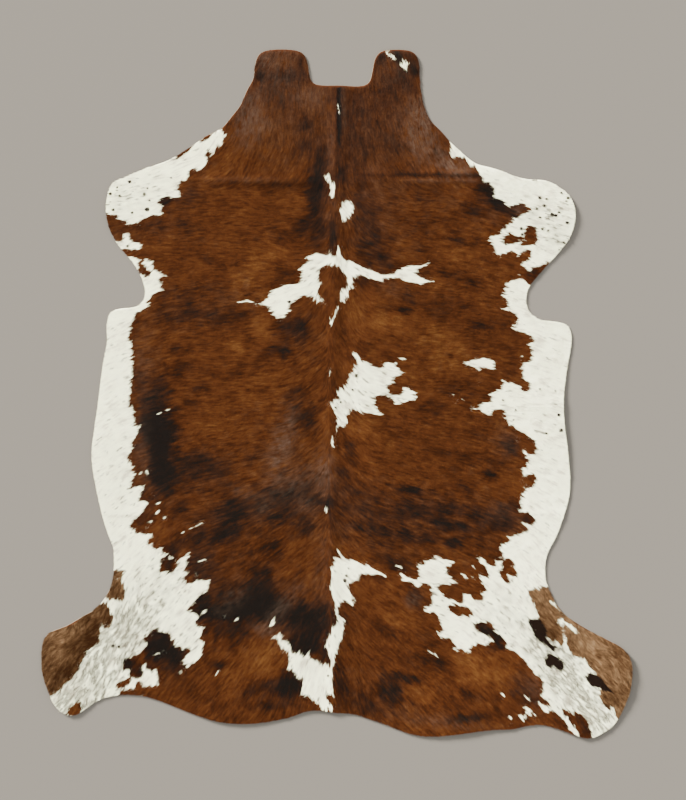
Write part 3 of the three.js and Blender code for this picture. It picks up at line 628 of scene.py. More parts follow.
TONES = table("across down long wide heading darker", [
    # broad zones
    [160, 448, 46, 18, 0, 0.12], [255, 530, 80, 34, -75, 0.08], [430, 522, 90, 28, 80, 0.11],
    [312, 625, 30, 40, 0, 0.12], [230, 608, 50, 20, 90, 0.10], [75, 650, 50, 28, -40, 0.16],
    [600, 670, 50, 30, 40, 0.06], [285, 130, 60, 36, 0, 0.03], [385, 120, 60, 36, 0, 0.06],
    [450, 320, 46, 28, 80, -0.06],
    # neck, left of the spine and the spine itself
    [290, 60, 7, 9, 0, -0.10], [262, 64, 12, 6, 0, 0.12], [301, 64, 10, 4, 0, 0.16],
    [286, 76, 20, 5, 90, 0.22], [339.5, 113, 28, 3, 0, 0.35], [260, 77, 5, 4, 0, 0.34],
    [245, 104, 20, 9, -30, 0.10], [272, 92, 12, 11, 0, 0.14], [284, 104, 8, 8, 0, 0.14],
    [305, 126, 7, 7, 0, 0.30], [306, 148, 10, 7, -40, 0.20], [262, 130, 24, 16, 0, -0.10],
    [308, 100, 10, 18, 0, -0.08], [272, 160, 16, 12, -40, -0.06], [322, 162, 18, 7, -5, 0.26],
    # the thin dark line at 275, 185 is painted shade under the neck's fold
    [275, 185, 26, 3, 90, 0.16], [222, 165, 16, 8, -50, -0.14], [341, 173, 8, 5, 0, 0.34],
    # left shoulder
    [315, 208, 38, 8, 0, 0.36], [301, 226, 8, 7, 0, 0.30], [320, 184, 12, 7, 0, 0.20],
    [333, 236, 16, 4, 0, 0.30], [282, 232, 20, 8, -110, 0.12], [226, 189, 8, 5, 90, -0.14],
    [303, 204, 10, 6, 0, -0.14], [290, 246, 12, 5, -110, 0.14], [190, 195, 14, 10, -60, 0.12],
    [164, 201, 7, 4.5, -70, 0.50], [238, 186, 7, 6, 0, 0.10], [152, 226, 16, 4, -80, 0.16],
    [160, 246, 13, 5, -85, -0.16], [190, 229, 16, 6, -100, 0.18], [205, 258, 20, 4, -85, 0.14],
    [236, 262, 13, 4, -80, 0.12], [252, 272, 18, 13, -80, -0.20], [278, 251, 22, 6, -75, -0.16],
    [288, 273, 12, 8, -70, 0.14], [240, 290, 8, 9, 0, -0.20],
    # left barrel
    [185, 296, 25, 12, -80, 0.12], [183, 315, 20, 8, -75, 0.26], [220, 318, 18, 9, -85, 0.20],
    [246, 315, 10, 4, -85, 0.16], [259, 325, 10, 10, 0, -0.10], [291, 327, 17, 11, 90, 0.30],
    [266, 330, 8, 12, 0, -0.12], [303, 333, 9, 8, 0, 0.16], [285, 350, 7, 6, 0, 0.34],
    [272, 351, 12, 6, 90, 0.22], [330, 360, 16, 4, 0, 0.12], [322, 340, 10, 4, 0, -0.12],
    [180, 348, 12, 4, -80, 0.20], [238, 346, 8, 7, 0, -0.22], [180, 370, 11, 8, -70, 0.26],
    [207, 372, 9, 4, -80, 0.16], [236, 373, 6, 4, -80, 0.24], [262, 380, 20, 5, -85, -0.14],
    [163, 386, 9, 8, 0, 0.22], [150, 398, 15, 12, 0, 0.26], [203, 388, 9, 4, -85, 0.18],
    [190, 403, 7, 3, -85, 0.26], [235, 411, 7, 3, -85, 0.22], [250, 402, 12, 8, -85, -0.14],
    [293, 393, 10, 5, -60, 0.22], [303, 412, 14, 14, -45, 0.26], [312, 420, 10, 7, 0, 0.12],
    [323, 400, 4, 4, 0, 0.30], [162, 430, 22, 14, 0, 0.52], [162, 474, 22, 12, 0, 0.44],
    [147, 430, 12, 8, 0, 0.30], [196, 470, 26, 18, -80, 0.20], [222, 424, 42, 14, -85, -0.06],
    [198, 466, 20, 11, -80, 0.14], [222, 472, 10, 6, -80, 0.14], [255, 457, 16, 4, -75, 0.16],
    [325, 428, 14, 6, 0, -0.14],
    # left loin
    [262, 503, 46, 9, -76, 0.26], [228, 512, 24, 12, 0, 0.18], [298, 488, 14, 6, -70, 0.16],
    [284, 515, 18, 6, -75, 0.18], [305, 527, 10, 10, 0, 0.22], [316, 500, 10, 5, -70, 0.16],
    [325, 503, 8, 4, 90, 0.22], [180, 509, 9, 6, -70, 0.22], [195, 537, 24, 7, -75, 0.20],
    [230, 530, 18, 7, -75, 0.14], [146, 518, 8, 8, 0, 0.22], [162, 528, 11, 8, 0, -0.10],
    [174, 550, 7, 6, 0, 0.24], [226, 538, 14, 5, -75, 0.22], [232, 555, 12, 4, -70, 0.18],
    [266, 548, 20, 4, -65, 0.16], [302, 546, 20, 8, -50, -0.12], [200, 567, 16, 12, 0, 0.24],
    [168, 565, 8, 7, 0, 0.40],
    # left rump
    [228, 592, 20, 14, 0, 0.14], [258, 585, 20, 12, -20, 0.38], [270, 597, 10, 7, -50, 0.26],
    [243, 606, 12, 6, -60, 0.26], [280, 556, 8, 10, 0, 0.14], [222, 613, 32, 8, 90, 0.40],
    [240, 602, 44, 16, 90, 0.10], [268, 612, 26, 9, 85, 0.24], [202, 600, 8, 7, 0, 0.32],
    [236, 632, 26, 10, 80, 0.28], [308, 614, 24, 12, 88, 0.18], [318, 636, 26, 10, 0, 0.24],
    [306, 646, 18, 8, 80, 0.32], [300, 630, 18, 12, 0, 0.20], [328, 660, 6, 6, 0, 0.30],
    [270, 612, 12, 10, 0, 0.20], [312, 580, 16, 9, 0, -0.08], [220, 648, 16, 6, 90, 0.10],
    [218, 664, 7, 4, 90, 0.40], [262, 655, 24, 22, 0, -0.26], [232, 682, 14, 8, 0, -0.16],
    [291, 684, 13, 12, 0, 0.60], [262, 688, 24, 8, 88, 0.30], [276, 706, 12, 6, 80, 0.26],
    [248, 702, 14, 5, 80, 0.16], [196, 692, 22, 8, 60, 0.08], [158, 642, 13, 11, 0, 0.58],
    [166, 657, 20, 14, 70, 0.34], [177, 652, 8, 7, 0, 0.30], [128, 664, 7, 6, 0, 0.50],
    [138, 672, 9, 5, 90, 0.34],
    # neck, right of the spine
    [398, 56, 7, 3.5, 0, 0.55], [381, 59, 5, 5, 0, 0.20], [404, 66, 14, 12, 0, 0.18],
    [382, 55, 6, 3, -50, 0.2], [390, 68, 8, 7, 0, -0.08], [403, 83, 12, 8, 60, 0.16],
    [415, 69, 5, 4, 0, 0.40], [352, 118, 30, 10, 0, 0.14], [388, 92, 12, 12, 0, 0.12],
    [362, 150, 16, 10, 0, 0.10], [438, 153, 8, 7, 30, 0.16], [392, 145, 14, 10, 10, 0.12],
    [418, 130, 26, 9, 20, -0.08],
    # right shoulder
    [358, 190, 14, 10, 0, 0.18], [423, 200, 7, 5, 40, 0.12], [368, 238, 28, 13, 0, 0.28],
    [418, 226, 12, 11, 0, 0.08], [460, 242, 16, 4, 80, 0.26], [427, 250, 12, 4, 80, 0.16],
    [409, 254, 8, 5, 70, -0.14], [455, 253, 30, 7, 80, -0.10], [385, 263, 13, 8, 60, 0.26],
    [487, 191, 10, 8, 40, 0.48], [497, 203, 8, 5, 80, 0.48], [474, 210, 7, 5, 60, 0.24],
    [512, 210, 12, 5, 80, 0.30], [485, 215, 20, 6, 70, 0.12], [456, 276, 20, 5, 80, 0.22],
    [470, 266, 34, 5, 80, -0.10], [474, 287, 8, 5, 70, 0.20], [535, 275, 8, 6, 30, 0.30],
    # right barrel
    [360, 283, 8, 5, 90, 0.20], [405, 298, 9, 6, 70, 0.22], [405, 311, 8, 3.5, 85, 0.44],
    [382, 309, 10, 4, 80, 0.20], [442, 311, 16, 10, 70, 0.28], [464, 305, 12, 6, 70, 0.20],
    [480, 325, 14, 6, 72, 0.16], [490, 324, 12, 5, 75, 0.16], [378, 318, 16, 9, 70, -0.22],
    [352, 312, 18, 12, 0, -0.10], [384, 322, 13, 7, 80, -0.10], [405, 330, 22, 12, 75, -0.08],
    [478, 326, 9, 4, 75, 0.16], [468, 338, 14, 8, 60, 0.14], [500, 345, 12, 8, 60, 0.10],
    [448, 346, 20, 12, 80, -0.20], [450, 357, 3.5, 3, 0, 0.30], [447, 368, 18, 10, 80, -0.20],
    [422, 378, 16, 7, 80, -0.10], [462, 388, 24, 9, 78, 0.14], [510, 368, 9, 9, 0, 0.12],
    [428, 408, 9, 12, 30, 0.10], [438, 412, 9, 6, 60, 0.10], [396, 433, 11, 5, 70, 0.16],
    [362, 428, 14, 12, 40, -0.18], [349, 449, 13, 5, 15, 0.26], [342, 474, 11, 5, 10, 0.26],
    [480, 436, 7, 4, 60, 0.18], [510, 447, 10, 7, 20, 0.26], [441, 453, 14, 3.5, 80, 0.16],
    [471, 459, 10, 5, 70, 0.16], [494, 464, 8, 5, 60, 0.22], [489, 474, 7, 4.5, 70, 0.40],
    # right loin
    [408, 489, 18, 3.5, 80, 0.26], [412, 491, 9, 3, 85, 0.2], [465, 487, 8, 6, 60, 0.20],
    [412, 511, 16, 8, 76, 0.24], [446, 508, 14, 6, 75, 0.26], [444, 524, 11, 5, 80, 0.36],
    [464, 526, 8, 4, 80, 0.28], [492, 521, 22, 8, 68, 0.22], [509, 511, 11, 9, 60, 0.26],
    [375, 531, 18, 3.5, 82, 0.26], [406, 535, 8, 6, 60, 0.30], [428, 538, 10, 4, 80, 0.22],
    [453, 543, 9, 5, 80, 0.42], [358, 508, 22, 14, 30, 0.12], [385, 550, 24, 8, 65, 0.10],
    [394, 565, 9, 5, 60, 0.26], [408, 565, 7, 8, 0, 0.20], [456, 552, 16, 8, 80, -0.12],
    [510, 478, 9, 16, 0, -0.10], [507, 536, 8, 6, 60, -0.20], [528, 517, 6, 5, 0, 0.20],
    # right rump
    [379, 578, 8, 4, 60, 0.22], [412, 597, 8, 7, 30, 0.28], [390, 607, 7, 5, 60, 0.20],
    [415, 608, 10, 5, 60, 0.14], [395, 617, 20, 7, 70, -0.14], [388, 631, 16, 7, 55, 0.26],
    [425, 636, 16, 7, 60, 0.12], [420, 660, 20, 7, 76, 0.22], [441, 663, 13, 8, 40, 0.26],
    [412, 680, 14, 5, 70, 0.26], [391, 690, 15, 10, 20, 0.42], [404, 678, 18, 5, 75, 0.20],
    [482, 668, 36, 15, 66, -0.22], [525, 688, 16, 11, 40, 0.20], [515, 690, 7, 5, 0, 0.16],
    [471, 695, 13, 5, 75, 0.26], [455, 706, 18, 7, 70, 0.10], [469, 718, 18, 4, 95, 0.40],
    [420, 690, 16, 9, 60, -0.18], [362, 702, 18, 8, 62, 0.28], [341, 686, 16, 6, 10, 0.30],
    [583, 725, 12, 7, 30, 0.26], [486, 630, 14, 5, 60, 0.50], [497, 642, 7, 7, 0, 0.45],
    # left leg
    [75, 645, 50, 26, -40, 0.16], [117, 588, 16, 10, 0, 0.16], [75, 708, 8, 7, 0, -0.20],
    [92, 638, 10, 7, 0, 0.26], [80, 657, 10, 6, -30, 0.14], [67, 672, 10, 6, -40, 0.26],
    [90, 620, 10, 4, 60, 0.26], [108, 617, 8, 5, 0, 0.24], [52, 686, 8, 5, -20, 0.22],
    [62, 640, 14, 7, -40, -0.20], [50, 632, 8, 4, 60, -0.20],
    # right leg
    [610, 700, 14, 10, 0, 0.14], [617, 652, 8, 5, 60, 0.16], [572, 650, 6, 8, 0, 0.18],
    [560, 612, 12, 10, 20, -0.06], [548, 622, 12, 8, 20, 0.22], [553, 635, 7, 6, 0, 0.26],
    [590, 645, 16, 6, 60, -0.20],
])

# Where the brown is colder than ginger, over and above the dark tones.

COOLS = table("across down long wide heading cooler", [
    [285, 95, 50, 46, 0, 0.62], [385, 100, 60, 50, 0, 0.50], [285, 150, 24, 40, 0, 0.20],
    [360, 170, 60, 34, 0, 0.36], [326, 205, 50, 12, 0, 0.40], [425, 205, 60, 30, 90, 0.24],
    [380, 245, 30, 26, 0, 0.24], [395, 290, 24, 12, 80, 0.36], [190, 190, 30, 14, -60, 0.28],
    [160, 228, 30, 12, -80, 0.28], [205, 305, 60, 20, -80, 0.34], [146, 370, 60, 12, 0, 0.45],
    [148, 450, 60, 16, 0, 0.50], [190, 470, 50, 24, -80, 0.34], [280, 460, 50, 26, 0, 0.45],
    [260, 506, 70, 20, -75, 0.50], [320, 490, 50, 16, 0, 0.30], [250, 605, 60, 34, 80, 0.36],
    [305, 620, 34, 30, 0, 0.40], [200, 565, 24, 16, 0, 0.40], [168, 650, 30, 22, 0, 0.40],
    [280, 690, 30, 16, 80, 0.36], [360, 525, 50, 30, 60, 0.28], [440, 515, 70, 26, 80, 0.30],
    [505, 445, 20, 12, 20, 0.60], [505, 515, 26, 14, 60, 0.50], [420, 600, 14, 12, 0, 0.36],
    [380, 690, 40, 22, 70, 0.24], [430, 718, 60, 10, 85, 0.30], [528, 690, 26, 16, 30, 0.45],
    [300, 335, 26, 22, 0, 0.30], [120, 225, 30, 14, 0, 0.30], [512, 215, 30, 12, 70, 0.40],
])

# How strong the brindle's streaks are, over or under one.

BRINDLES = table("across down long wide heading more", [
    [285, 110, 60, 46, 0, -0.7], [390, 110, 60, 46, 0, -0.7], [365, 318, 34, 28, 0, -0.7],
    [400, 455, 60, 26, 78, -0.3], [430, 525, 90, 34, 80, 0.4], [260, 520, 90, 40, -75, 0.3],
    [265, 660, 30, 30, 0, -0.35], [180, 320, 60, 20, -80, 0.3], [450, 315, 60, 30, 80, -0.35],
    [400, 640, 60, 40, 70, -0.25], [230, 230, 90, 40, 90, -0.15],
    [602, 656, 62, 34, 50, -0.8], [75, 650, 50, 30, -50, -0.45],
])

# Painted sheen on the brown: a grey haze where the hair catches the light, and painted highlights
# along the neck's fold. Soft ovals, and how much of it there is.

PAINTED_SHEENS = table("across down long wide heading grey", [
    [250, 108, 20, 9, -30, 0.36], [252, 130, 18, 11, -40, 0.30], [262, 60, 8, 8, 0, 0.22],
    [308, 98, 9, 18, 0, 0.22], [420, 112, 16, 8, 20, 0.36], [420, 138, 24, 15, 30, 0.40],
    [455, 165, 16, 8, 60, 0.36], [331, 145, 16, 3.5, 0, 0.14], [344, 108, 22, 2, 0, 0.20],
    [282, 445, 30, 9, -15, 0.40], [300, 480, 26, 11, -60, 0.20], [325, 472, 18, 8, 0, 0.26],
    [322, 565, 30, 8, 0, 0.10], [245, 492, 18, 5, -110, 0.14], [262, 508, 8, 5, -60, 0.16],
    [306, 506, 9, 8, -40, 0.18], [142, 445, 30, 7, 0, 0.12], [141, 365, 16, 7, 0, 0.10],
    [232, 600, 16, 8, -50, 0.18], [290, 598, 20, 6, -45, 0.20], [272, 622, 14, 7, -30, 0.24],
    [395, 290, 14, 7, 80, 0.06], [508, 443, 12, 8, 20, 0.06], [535, 685, 12, 7, 30, 0.14],
    [522, 210, 8, 5, 80, 0.24], [445, 722, 34, 5, 84, 0.16], [412, 600, 7, 7, 0, 0.26],
    [262, 628, 10, 5, 80, 0.20], [500, 512, 12, 8, 60, 0.05], [250, 180, 40, 2.5, 90, 0.14],
    [450, 180.5, 40, 2.2, 90, 0.20], [280, 64, 26, 16, 0, 0.20], [395, 66, 16, 16, 0, 0.14],
    [450, 166, 16, 6, 75, 0.24],
])

# Grey flecks in the white: soft ovals, and how thickly they are strewn.

ROANS = table("across down long wide heading thick", [
    [98, 668, 46, 22, -42, 1.30], [74, 696, 20, 12, -42, 1.05], [118, 635, 28, 16, -30, 0.75],
    [152, 602, 44, 28, -30, 0.62], [190, 640, 16, 10, 0, 0.35], [574, 690, 50, 20, 42, 0.95],
    [552, 655, 24, 16, 40, 0.60], [512, 618, 40, 26, 50, 0.42], [430, 590, 26, 14, 40, 0.30],
    [592, 718, 20, 12, 40, 0.55], [130, 196, 34, 14, -75, 0.40], [545, 215, 36, 20, 70, 0.44],
    [553, 243, 16, 9, 70, 0.50], [120, 440, 110, 16, 0, 0.16], [548, 450, 80, 14, 0, 0.16],
    [313, 275, 30, 20, 0, 0.20], [365, 385, 40, 26, 0, 0.24], [310, 675, 26, 16, 0, 0.20],
])

# Creases: soft troughs and ridges from one place to another, with their half width in squares,
# their height in metres, below nought for a trough, and how much darker the hair is drawn along
# them: painted shade in the fold, below nought a painted highlight; along the spine's parting it
# also darkens the dark hair there.

CREASES = table("across down to_across to_down wide height darker", [
    [188, 179, 290, 180, 1.3, 0.0012, -0.12], [300, 179, 352, 180, 1.6, -0.0006, 0.05],
    [352, 178, 484, 178.5, 1.6, -0.0016, 0], [395, 175, 480, 175.5, 2.8, 0, 0.46],
    [345, 175, 400, 175, 3.4, 0, 0.12], [392, 179.6, 478, 180, 1.4, 0.0004, -0.14],
    [339, 86, 338.5, 142, 2.0, -0.0012, 0.42], [339, 142, 338.5, 178, 2.2, -0.0008, 0.16],
    [336, 300, 334, 380, 4.0, 0.0008, 0], [334, 380, 333, 560, 4.0, 0.0008, 0],
    [524, 405, 566, 404, 0.9, -0.0008, 0.5], [532, 515, 562, 514.5, 0.9, -0.0008, 0.5],
    [98, 404, 132, 405, 0.9, -0.0006, 0.3], [103, 516, 140, 517, 0.9, -0.0006, 0.3],
])

# ------------------------------------------------------------------ rasters on the hide


def raster(pitch):
    """The places of an even raster that covers the hide and a margin round it."""
    x = np.arange(hide_low.x - MAP_MARGIN, hide_high.x + MAP_MARGIN + pitch, pitch)
    y = np.arange(hide_low.y - MAP_MARGIN, hide_high.y + MAP_MARGIN + pitch, pitch)
    return np.stack(np.meshgrid(x, y), axis=-1)


def read(values, pitch, places):
    """Reads a raster's values between its points."""
    corner = np.array([hide_low.x - MAP_MARGIN, hide_low.y - MAP_MARGIN])
    rows, columns = values.shape[:2]
    steps = np.clip((places - corner) / pitch, 0, np.array([columns - 1.001, rows - 1.001]))
    cell = steps.astype(int)
    x, y = cell[..., 0], cell[..., 1]
    part = steps - cell
    fx, fy = part[..., 0], part[..., 1]
    if values.ndim == 3:
        fx, fy = fx[..., None], fy[..., None]
    low = values[y, x] * (1 - fx) + values[y, x + 1] * fx
    high = values[y + 1, x] * (1 - fx) + values[y + 1, x + 1] * fx
    return low * (1 - fy) + high * fy


def on_coat(values, places):
    """Reads a raster of the coat's colours."""
    return read(values, COAT_PITCH, places)


def clouds(shape, grain, rng):
    """Soft random hills: their grain is counted in raster steps, and their spread is one."""
    noise = np.fft.rfft2(rng.standard_normal(shape))
    rows = np.fft.fftfreq(shape[0])[:, None]
    columns = np.fft.rfftfreq(shape[1])[None, :]
    soft = np.exp(-2 * (math.pi * grain) ** 2 * (rows**2 + columns**2) / 4)
    hills = np.fft.irfft2(noise * soft, shape)
    return (hills - hills.mean()) / hills.std()


def smoothed(values, times):
    """Each point of a raster averaged with its neighbours, several times over."""
    for _ in range(times * 2):
        padded = np.pad(values, ((1, 1), (0, 0)), "edge")
        values = (values / 2 + (padded[:-2] + padded[2:]) / 4).T
    return values


def aside(ways):
    """Vectors turned by a quarter to their right."""
    return np.stack([ways[..., 1], -ways[..., 0]], axis=-1)


def turned(ways, angles):
    """Vectors turned to their left by angles in radians."""
    cos, sin = np.cos(angles)[:, None], np.sin(angles)[:, None]
    return ways * cos - aside(ways) * sin


def headed(degrees):
    """Unit vectors for headings in degrees."""
    angles = np.radians(degrees)
    return np.stack([np.sin(angles), -np.cos(angles)], axis=-1)


# ------------------------------------------------------------------ shape of the skin


def welded(node):
    """A CAD node's mesh with its shared points joined."""
    body = bmesh.new()
    body.from_mesh(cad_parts[node].data)
    bmesh.ops.remove_doubles(body, verts=body.verts, dist=WELD)
    body.normal_update()
    return body


def walk_round(body):
    """The points of the flesh side's rim, in their order round the hide."""
    follows = {}
    for edge in body.edges:
        tilts = sorted(face.normal.z for face in edge.link_faces)
        if len(tilts) == 2 and tilts[0] < -LEVEL and abs(tilts[1]) < LEVEL:
            follows.setdefault(edge.verts[0], []).append(edge.verts[1])
            follows.setdefault(edge.verts[1], []).append(edge.verts[0])
    start = next(iter(follows))
    walk = [start, follows[start][0]]
    while walk[-1] is not start:
        ways = [vert for vert in follows[walk[-1]] if vert is not walk[-2]]
        walk.append(ways[0])
    return np.array([vert.co[:2] for vert in walk])


def cut_edge(body):
    """The hide's outline, as even steps round its cut edge, anticlockwise from above."""
    ring = walk_round(body)
    gaps = np.linalg.norm(np.diff(ring, axis=0), axis=1)
    run = np.concatenate([[0], np.cumsum(gaps)])
    count = int(run[-1] / RIM_STEP)
    stops = np.arange(count) * run[-1] / count
    ring = np.stack([np.interp(stops, run, ring[:, axis]) for axis in (0, 1)], axis=-1)
    ring = (np.roll(ring, 1, 0) + 2 * ring + np.roll(ring, -1, 0)) / 4
    return ring if area_of(ring) > 0 else ring[::-1]


def area_of(ring):
    """The area inside a ring of points, positive if it runs anticlockwise."""
    after = np.roll(ring, -1, 0)
    return float((ring[:, 0] * after[:, 1] - ring[:, 1] * after[:, 0]).sum() / 2)


def outward(ring):
    """Unit vectors straight out of a ring that runs anticlockwise."""
    run = np.roll(ring, -1, 0) - np.roll(ring, 1, 0)
    return aside(run / np.linalg.norm(run, axis=1, keepdims=True))


def inside(ring, places):
    """True for the places inside a closed ring."""
    found = np.zeros(len(places), bool)
    near = ((places >= ring.min(0)) & (places <= ring.max(0))).all(1)
    x, y = places[near].T
    crossings = np.zeros(len(x), int)
    for (ax, ay), (bx, by) in zip(ring, np.roll(ring, -1, 0)):
        spans = np.flatnonzero((y >= min(ay, by)) & (y < max(ay, by)))
        reach = ax + (y[spans] - ay) * (bx - ax) / ((by - ay) or 1)
        crossings[spans] += x[spans] < reach
    found[near] = crossings % 2 == 1
    return found


def rim_map(ring):
    """How far each raster place lies inside the cut edge, below nought outside it."""
    places = raster(RIM_PITCH)
    points = np.concatenate([ring, (ring + np.roll(ring, -1, 0)) / 2])
    tree = kdtree.KDTree(len(points))
    for number, (x, y) in enumerate(points):
        tree.insert((x, y, 0), number)
    tree.balance()
    flat = places.reshape(-1, 2)
    away = np.array([tree.find((x, y, 0))[2] for x, y in flat])
    sign = np.where(inside(ring, flat), 1, -1)
    return (away * sign).reshape(places.shape[:2])


def depth(places):
    """How far places lie inside the cut edge."""
    return read(depths, RIM_PITCH, places)


def lift_map(body):
    """How far the skin's flesh side lies over the floor, read off the frame and smoothed."""
    tops = [[vert.co for vert in face.verts] for face in body.faces if face.normal.z > LEVEL]
    firsts = np.cumsum([0] + [len(corners) for corners in tops])
    polygons = [list(range(*span)) for span in zip(firsts[:-1].tolist(), firsts[1:].tolist())]
    tree = BVHTree.FromPolygons([point for corners in tops for point in corners], polygons)
    places = raster(LIFT_PITCH)
    flat = places.reshape(-1, 2)
    heights = np.array([tree.find_nearest((x, y, hide_high.z))[0].z for x, y in flat])
    lifts = heights.reshape(places.shape[:2]) - heights.min()
    return smoothed(lifts, LIFT_ROUNDS)


def crease_map(column):
    """The sum of a column of the creases' chart, soft to both sides of each crease."""
    places = raster(COAT_PITCH)
    total = np.zeros(places.shape[:2])
    starts = on_hide(CREASES["across"], CREASES["down"])
    ends = on_hide(CREASES["to_across"], CREASES["to_down"])
    for start, end, wide, amount in zip(starts, ends, CREASES["wide"], CREASES[column]):
        run = end - start
        share = (places - start) @ run / (run @ run)
        away = np.linalg.norm(places - start - np.clip(share, 0, 1)[..., None] * run, axis=-1)
        fade = np.clip(np.minimum(share, 1 - share) * CREASE_FADE + 0.5, 0, 1)
        total += amount * fade * np.exp(-((away / (wide * square)) ** 2))
    return total


def lift(places):
    """The height of the skin's flesh side."""
    return read(lifts, LIFT_PITCH, places) + on_coat(folds, places)


def slope(places):
    """How steeply the skin rises towards +X and +Y."""
    step = COAT_PITCH
    across = lift(places + [step, 0]) - lift(places - [step, 0])
    along = lift(places + [0, step]) - lift(places - [0, step])
    return np.stack([across, along], axis=-1) / (2 * step)


def close_rows(low, high, step):
    """Places in even rows, every other row shifted by half a step."""
    x, y = np.meshgrid(
        np.arange(low[0], high[0], step), np.arange(low[1], high[1], step * math.sqrt(3) / 2)
    )
    x[1::2] += step / 2
    return np.stack([x.ravel(), y.ravel()], axis=-1)


def skin_mesh(ring):
    """The tanned skin: a flesh side, a hair side and the cut edge between them."""
    inner = close_rows(ring.min(0), ring.max(0), SKIN_STEP)
    inner = inner[depth(inner) > SKIN_CLEAR]
    flat = [Vector(place) for place in np.concatenate([ring, inner])]
    around = np.arange(len(ring))
    within, closest = 1, WELD / 10
    points, _, faces, *_ = geometry.delaunay_2d_cdt(flat, [], [around.tolist()], within, closest)
    points = np.array([tuple(point) for point in points])
    faces = np.array(faces)
    count = len(points)
    heights = lift(points)
    flesh = np.column_stack([points, heights])
    grain = np.column_stack([points, heights + SKIN])
    grain[:len(ring), :2] -= outward(ring) * BEVEL
    beyond = np.roll(around, -1)
    wall = np.stack([around, beyond, beyond + count, around + count], axis=-1)
    sides = [faces[:, ::-1].tolist(), (faces + count).tolist(), wall.tolist()]
    mesh = bpy.data.meshes.new("hide_skin")
    mesh.from_pydata(np.concatenate([flesh, grain]).tolist(), [], sum(sides, []))
    slots = np.repeat([0, 1, 2], [len(side) for side in sides])
    mesh.polygons.foreach_set("material_index", slots.astype(np.int32))
    mesh.polygons.foreach_set("use_smooth", slots < 2)
    mesh.update()
    return mesh


# ------------------------------------------------------------------ lie of the hair


def lie_map():
    """Unit vectors along the hair on a raster, drawn from the charted headings."""
    places = raster(LIE_PITCH)
    total = np.zeros(places.shape)
    for mark, way in zip(on_hide(LIE["across"], LIE["down"]), headed(LIE["heading"])):
        away = ((places - mark) ** 2).sum(-1)
        total += way / (away + LIE_BLEND**2)[..., None] ** 2
    return total / np.linalg.norm(total, axis=-1, keepdims=True)


def lie(places):
    """Unit vectors along the hair."""
    way = read(lies, LIE_PITCH, places)
    return way / np.linalg.norm(way, axis=-1, keepdims=True)


def combed(values, steps):
    """A raster of the coat's values drawn out along the hair, over so many steps each way."""
    rows, columns = values.shape
    start = np.stack(np.meshgrid(np.arange(columns), np.arange(rows)), axis=-1)
    total = values.copy()
    for sign in (1, -1):
        spot, cell = start.astype(float), start
        for _ in range(steps):
            spot += sign * coat_ways[cell[..., 1], cell[..., 0]]
            cell = np.clip(spot.round().astype(int), 0, [columns - 1, rows - 1])
            total += values[cell[..., 1], cell[..., 0]]
    return (total - total.mean()) / total.std()


# ------------------------------------------------------------------ coat's colours


def layered(name, rng):
    """Random hills on the coat's raster, summed from their layers."""
    shape = coat_ways.shape[:2]
    return sum(
        weight * combed(clouds(shape, grain, rng), steps) for weight, grain, steps in LAYERS[name]
    )


def spots(name, thick, rng):
    """Over nought inside random spots, which stand closer where they are thick."""
    height, lower, sharp = SPOTS[name]
    return (layered(name, rng) - height + lower * thick) * sharp


def ovals(chart, column, places, drift=0):
    """The sum of a chart's soft ovals at each place. A drift makes the broad ones ragged."""
    total = np.zeros(places.shape[:-1])
    marks = on_hide(chart["across"], chart["down"])
    rows = zip(marks, headed(chart["heading"]), chart["long"], chart["wide"], chart[column])
    for mark, way, long, wide, amount in rows:
        offset = places - mark + drift * min(wide / BROAD, 1)
        away = (offset @ way / (long * square)) ** 2 + (offset @ aside(way) / (wide * square)) ** 2
        total += amount * np.exp(-(away**OVAL_EDGE) * OVAL_FALL)
    return total


def shade_maps(rng):
    """How dark the brown is, charted tones with ragged edges and brindle along the hair, with
    painted shade and highlights along the creases; and how far it leaves ginger for a colder
    brown."""
    places = raster(COAT_PITCH)
    run, drift = (layered(name, rng)[..., None] * square for name in ("run", "drift"))
    ragged = coat_ways * run + aside(coat_ways) * drift
    tones = ovals(TONES, "darker", places, ragged)
    streaks = layered("streak", rng)
    strokes = np.clip(spots("stroke", tones, rng), 0, 1) * STROKE_SHADE
    strength = np.clip(1 + ovals(BRINDLES, "more", places), *BRINDLE_LIMITS)
    shade = SHADE_MIDDLE + tones + strength * (streaks + strokes)
    # the creases' darkness is painted shade in the folds, and painted highlight where below nought
    shade += layered("cloud", rng) + layered("fine", rng) + crease_map("darker")
    cool = ovals(COOLS, "cooler", places, ragged) + COOL_DARK * np.maximum(tones, 0)
    cool += layered("cool", rng) - COOL_LESS
    return shade, np.clip(cool, 0, 1)


def pale_map(rng):
    """How far the white falls off towards cream, with painted shade along the creases."""
    return SHADE_PALE + layered("pale", rng) + crease_map("darker")


def grey_maps(thick, rng):
    """How much painted sheen greys the brown, and how grey the flecks in the white are."""
    broken = 1 + layered("sheen", rng)
    sheen = SHEEN * ovals(PAINTED_SHEENS, "grey", raster(COAT_PITCH)) * broken
    flecks = np.clip(spots("fleck", thick, rng), 0, 1)
    haze = np.clip(thick * (HAZE + layered("haze", rng)), 0, HAZE_MOST)
    return np.clip(sheen, 0, SHEEN_MOST), np.maximum(flecks, haze)


def near_line(places, start, end, reach):
    """The numbers of the places within reach of a line."""
    low = np.minimum(start, end) - reach
    high = np.maximum(start, end) + reach
    close = np.flatnonzero(((places > low) & (places < high)).all(1))
    run = end - start
    offset = places[close] - start
    share = np.clip(offset @ run / max(run @ run, 1e-12), 0, 1)
    away = np.linalg.norm(offset - share[:, None] * run, axis=1)
    return close[away < reach]


def dashes():
    """The dashes' starts, ends and reaches, drawn in so that their hairs end where charted."""
    starts = on_hide(DASHES["across"], DASHES["down"])
    ends = on_hide(DASHES["to_across"], DASHES["to_down"])
    long = np.linalg.norm(ends - starts, axis=1, keepdims=True)
    pull = (ends - starts) * np.minimum(DASH_PULL / long, 0.5)
    return zip(starts + pull, ends - pull, DASHES["wide"] * DASH_SHARE * square / 2)


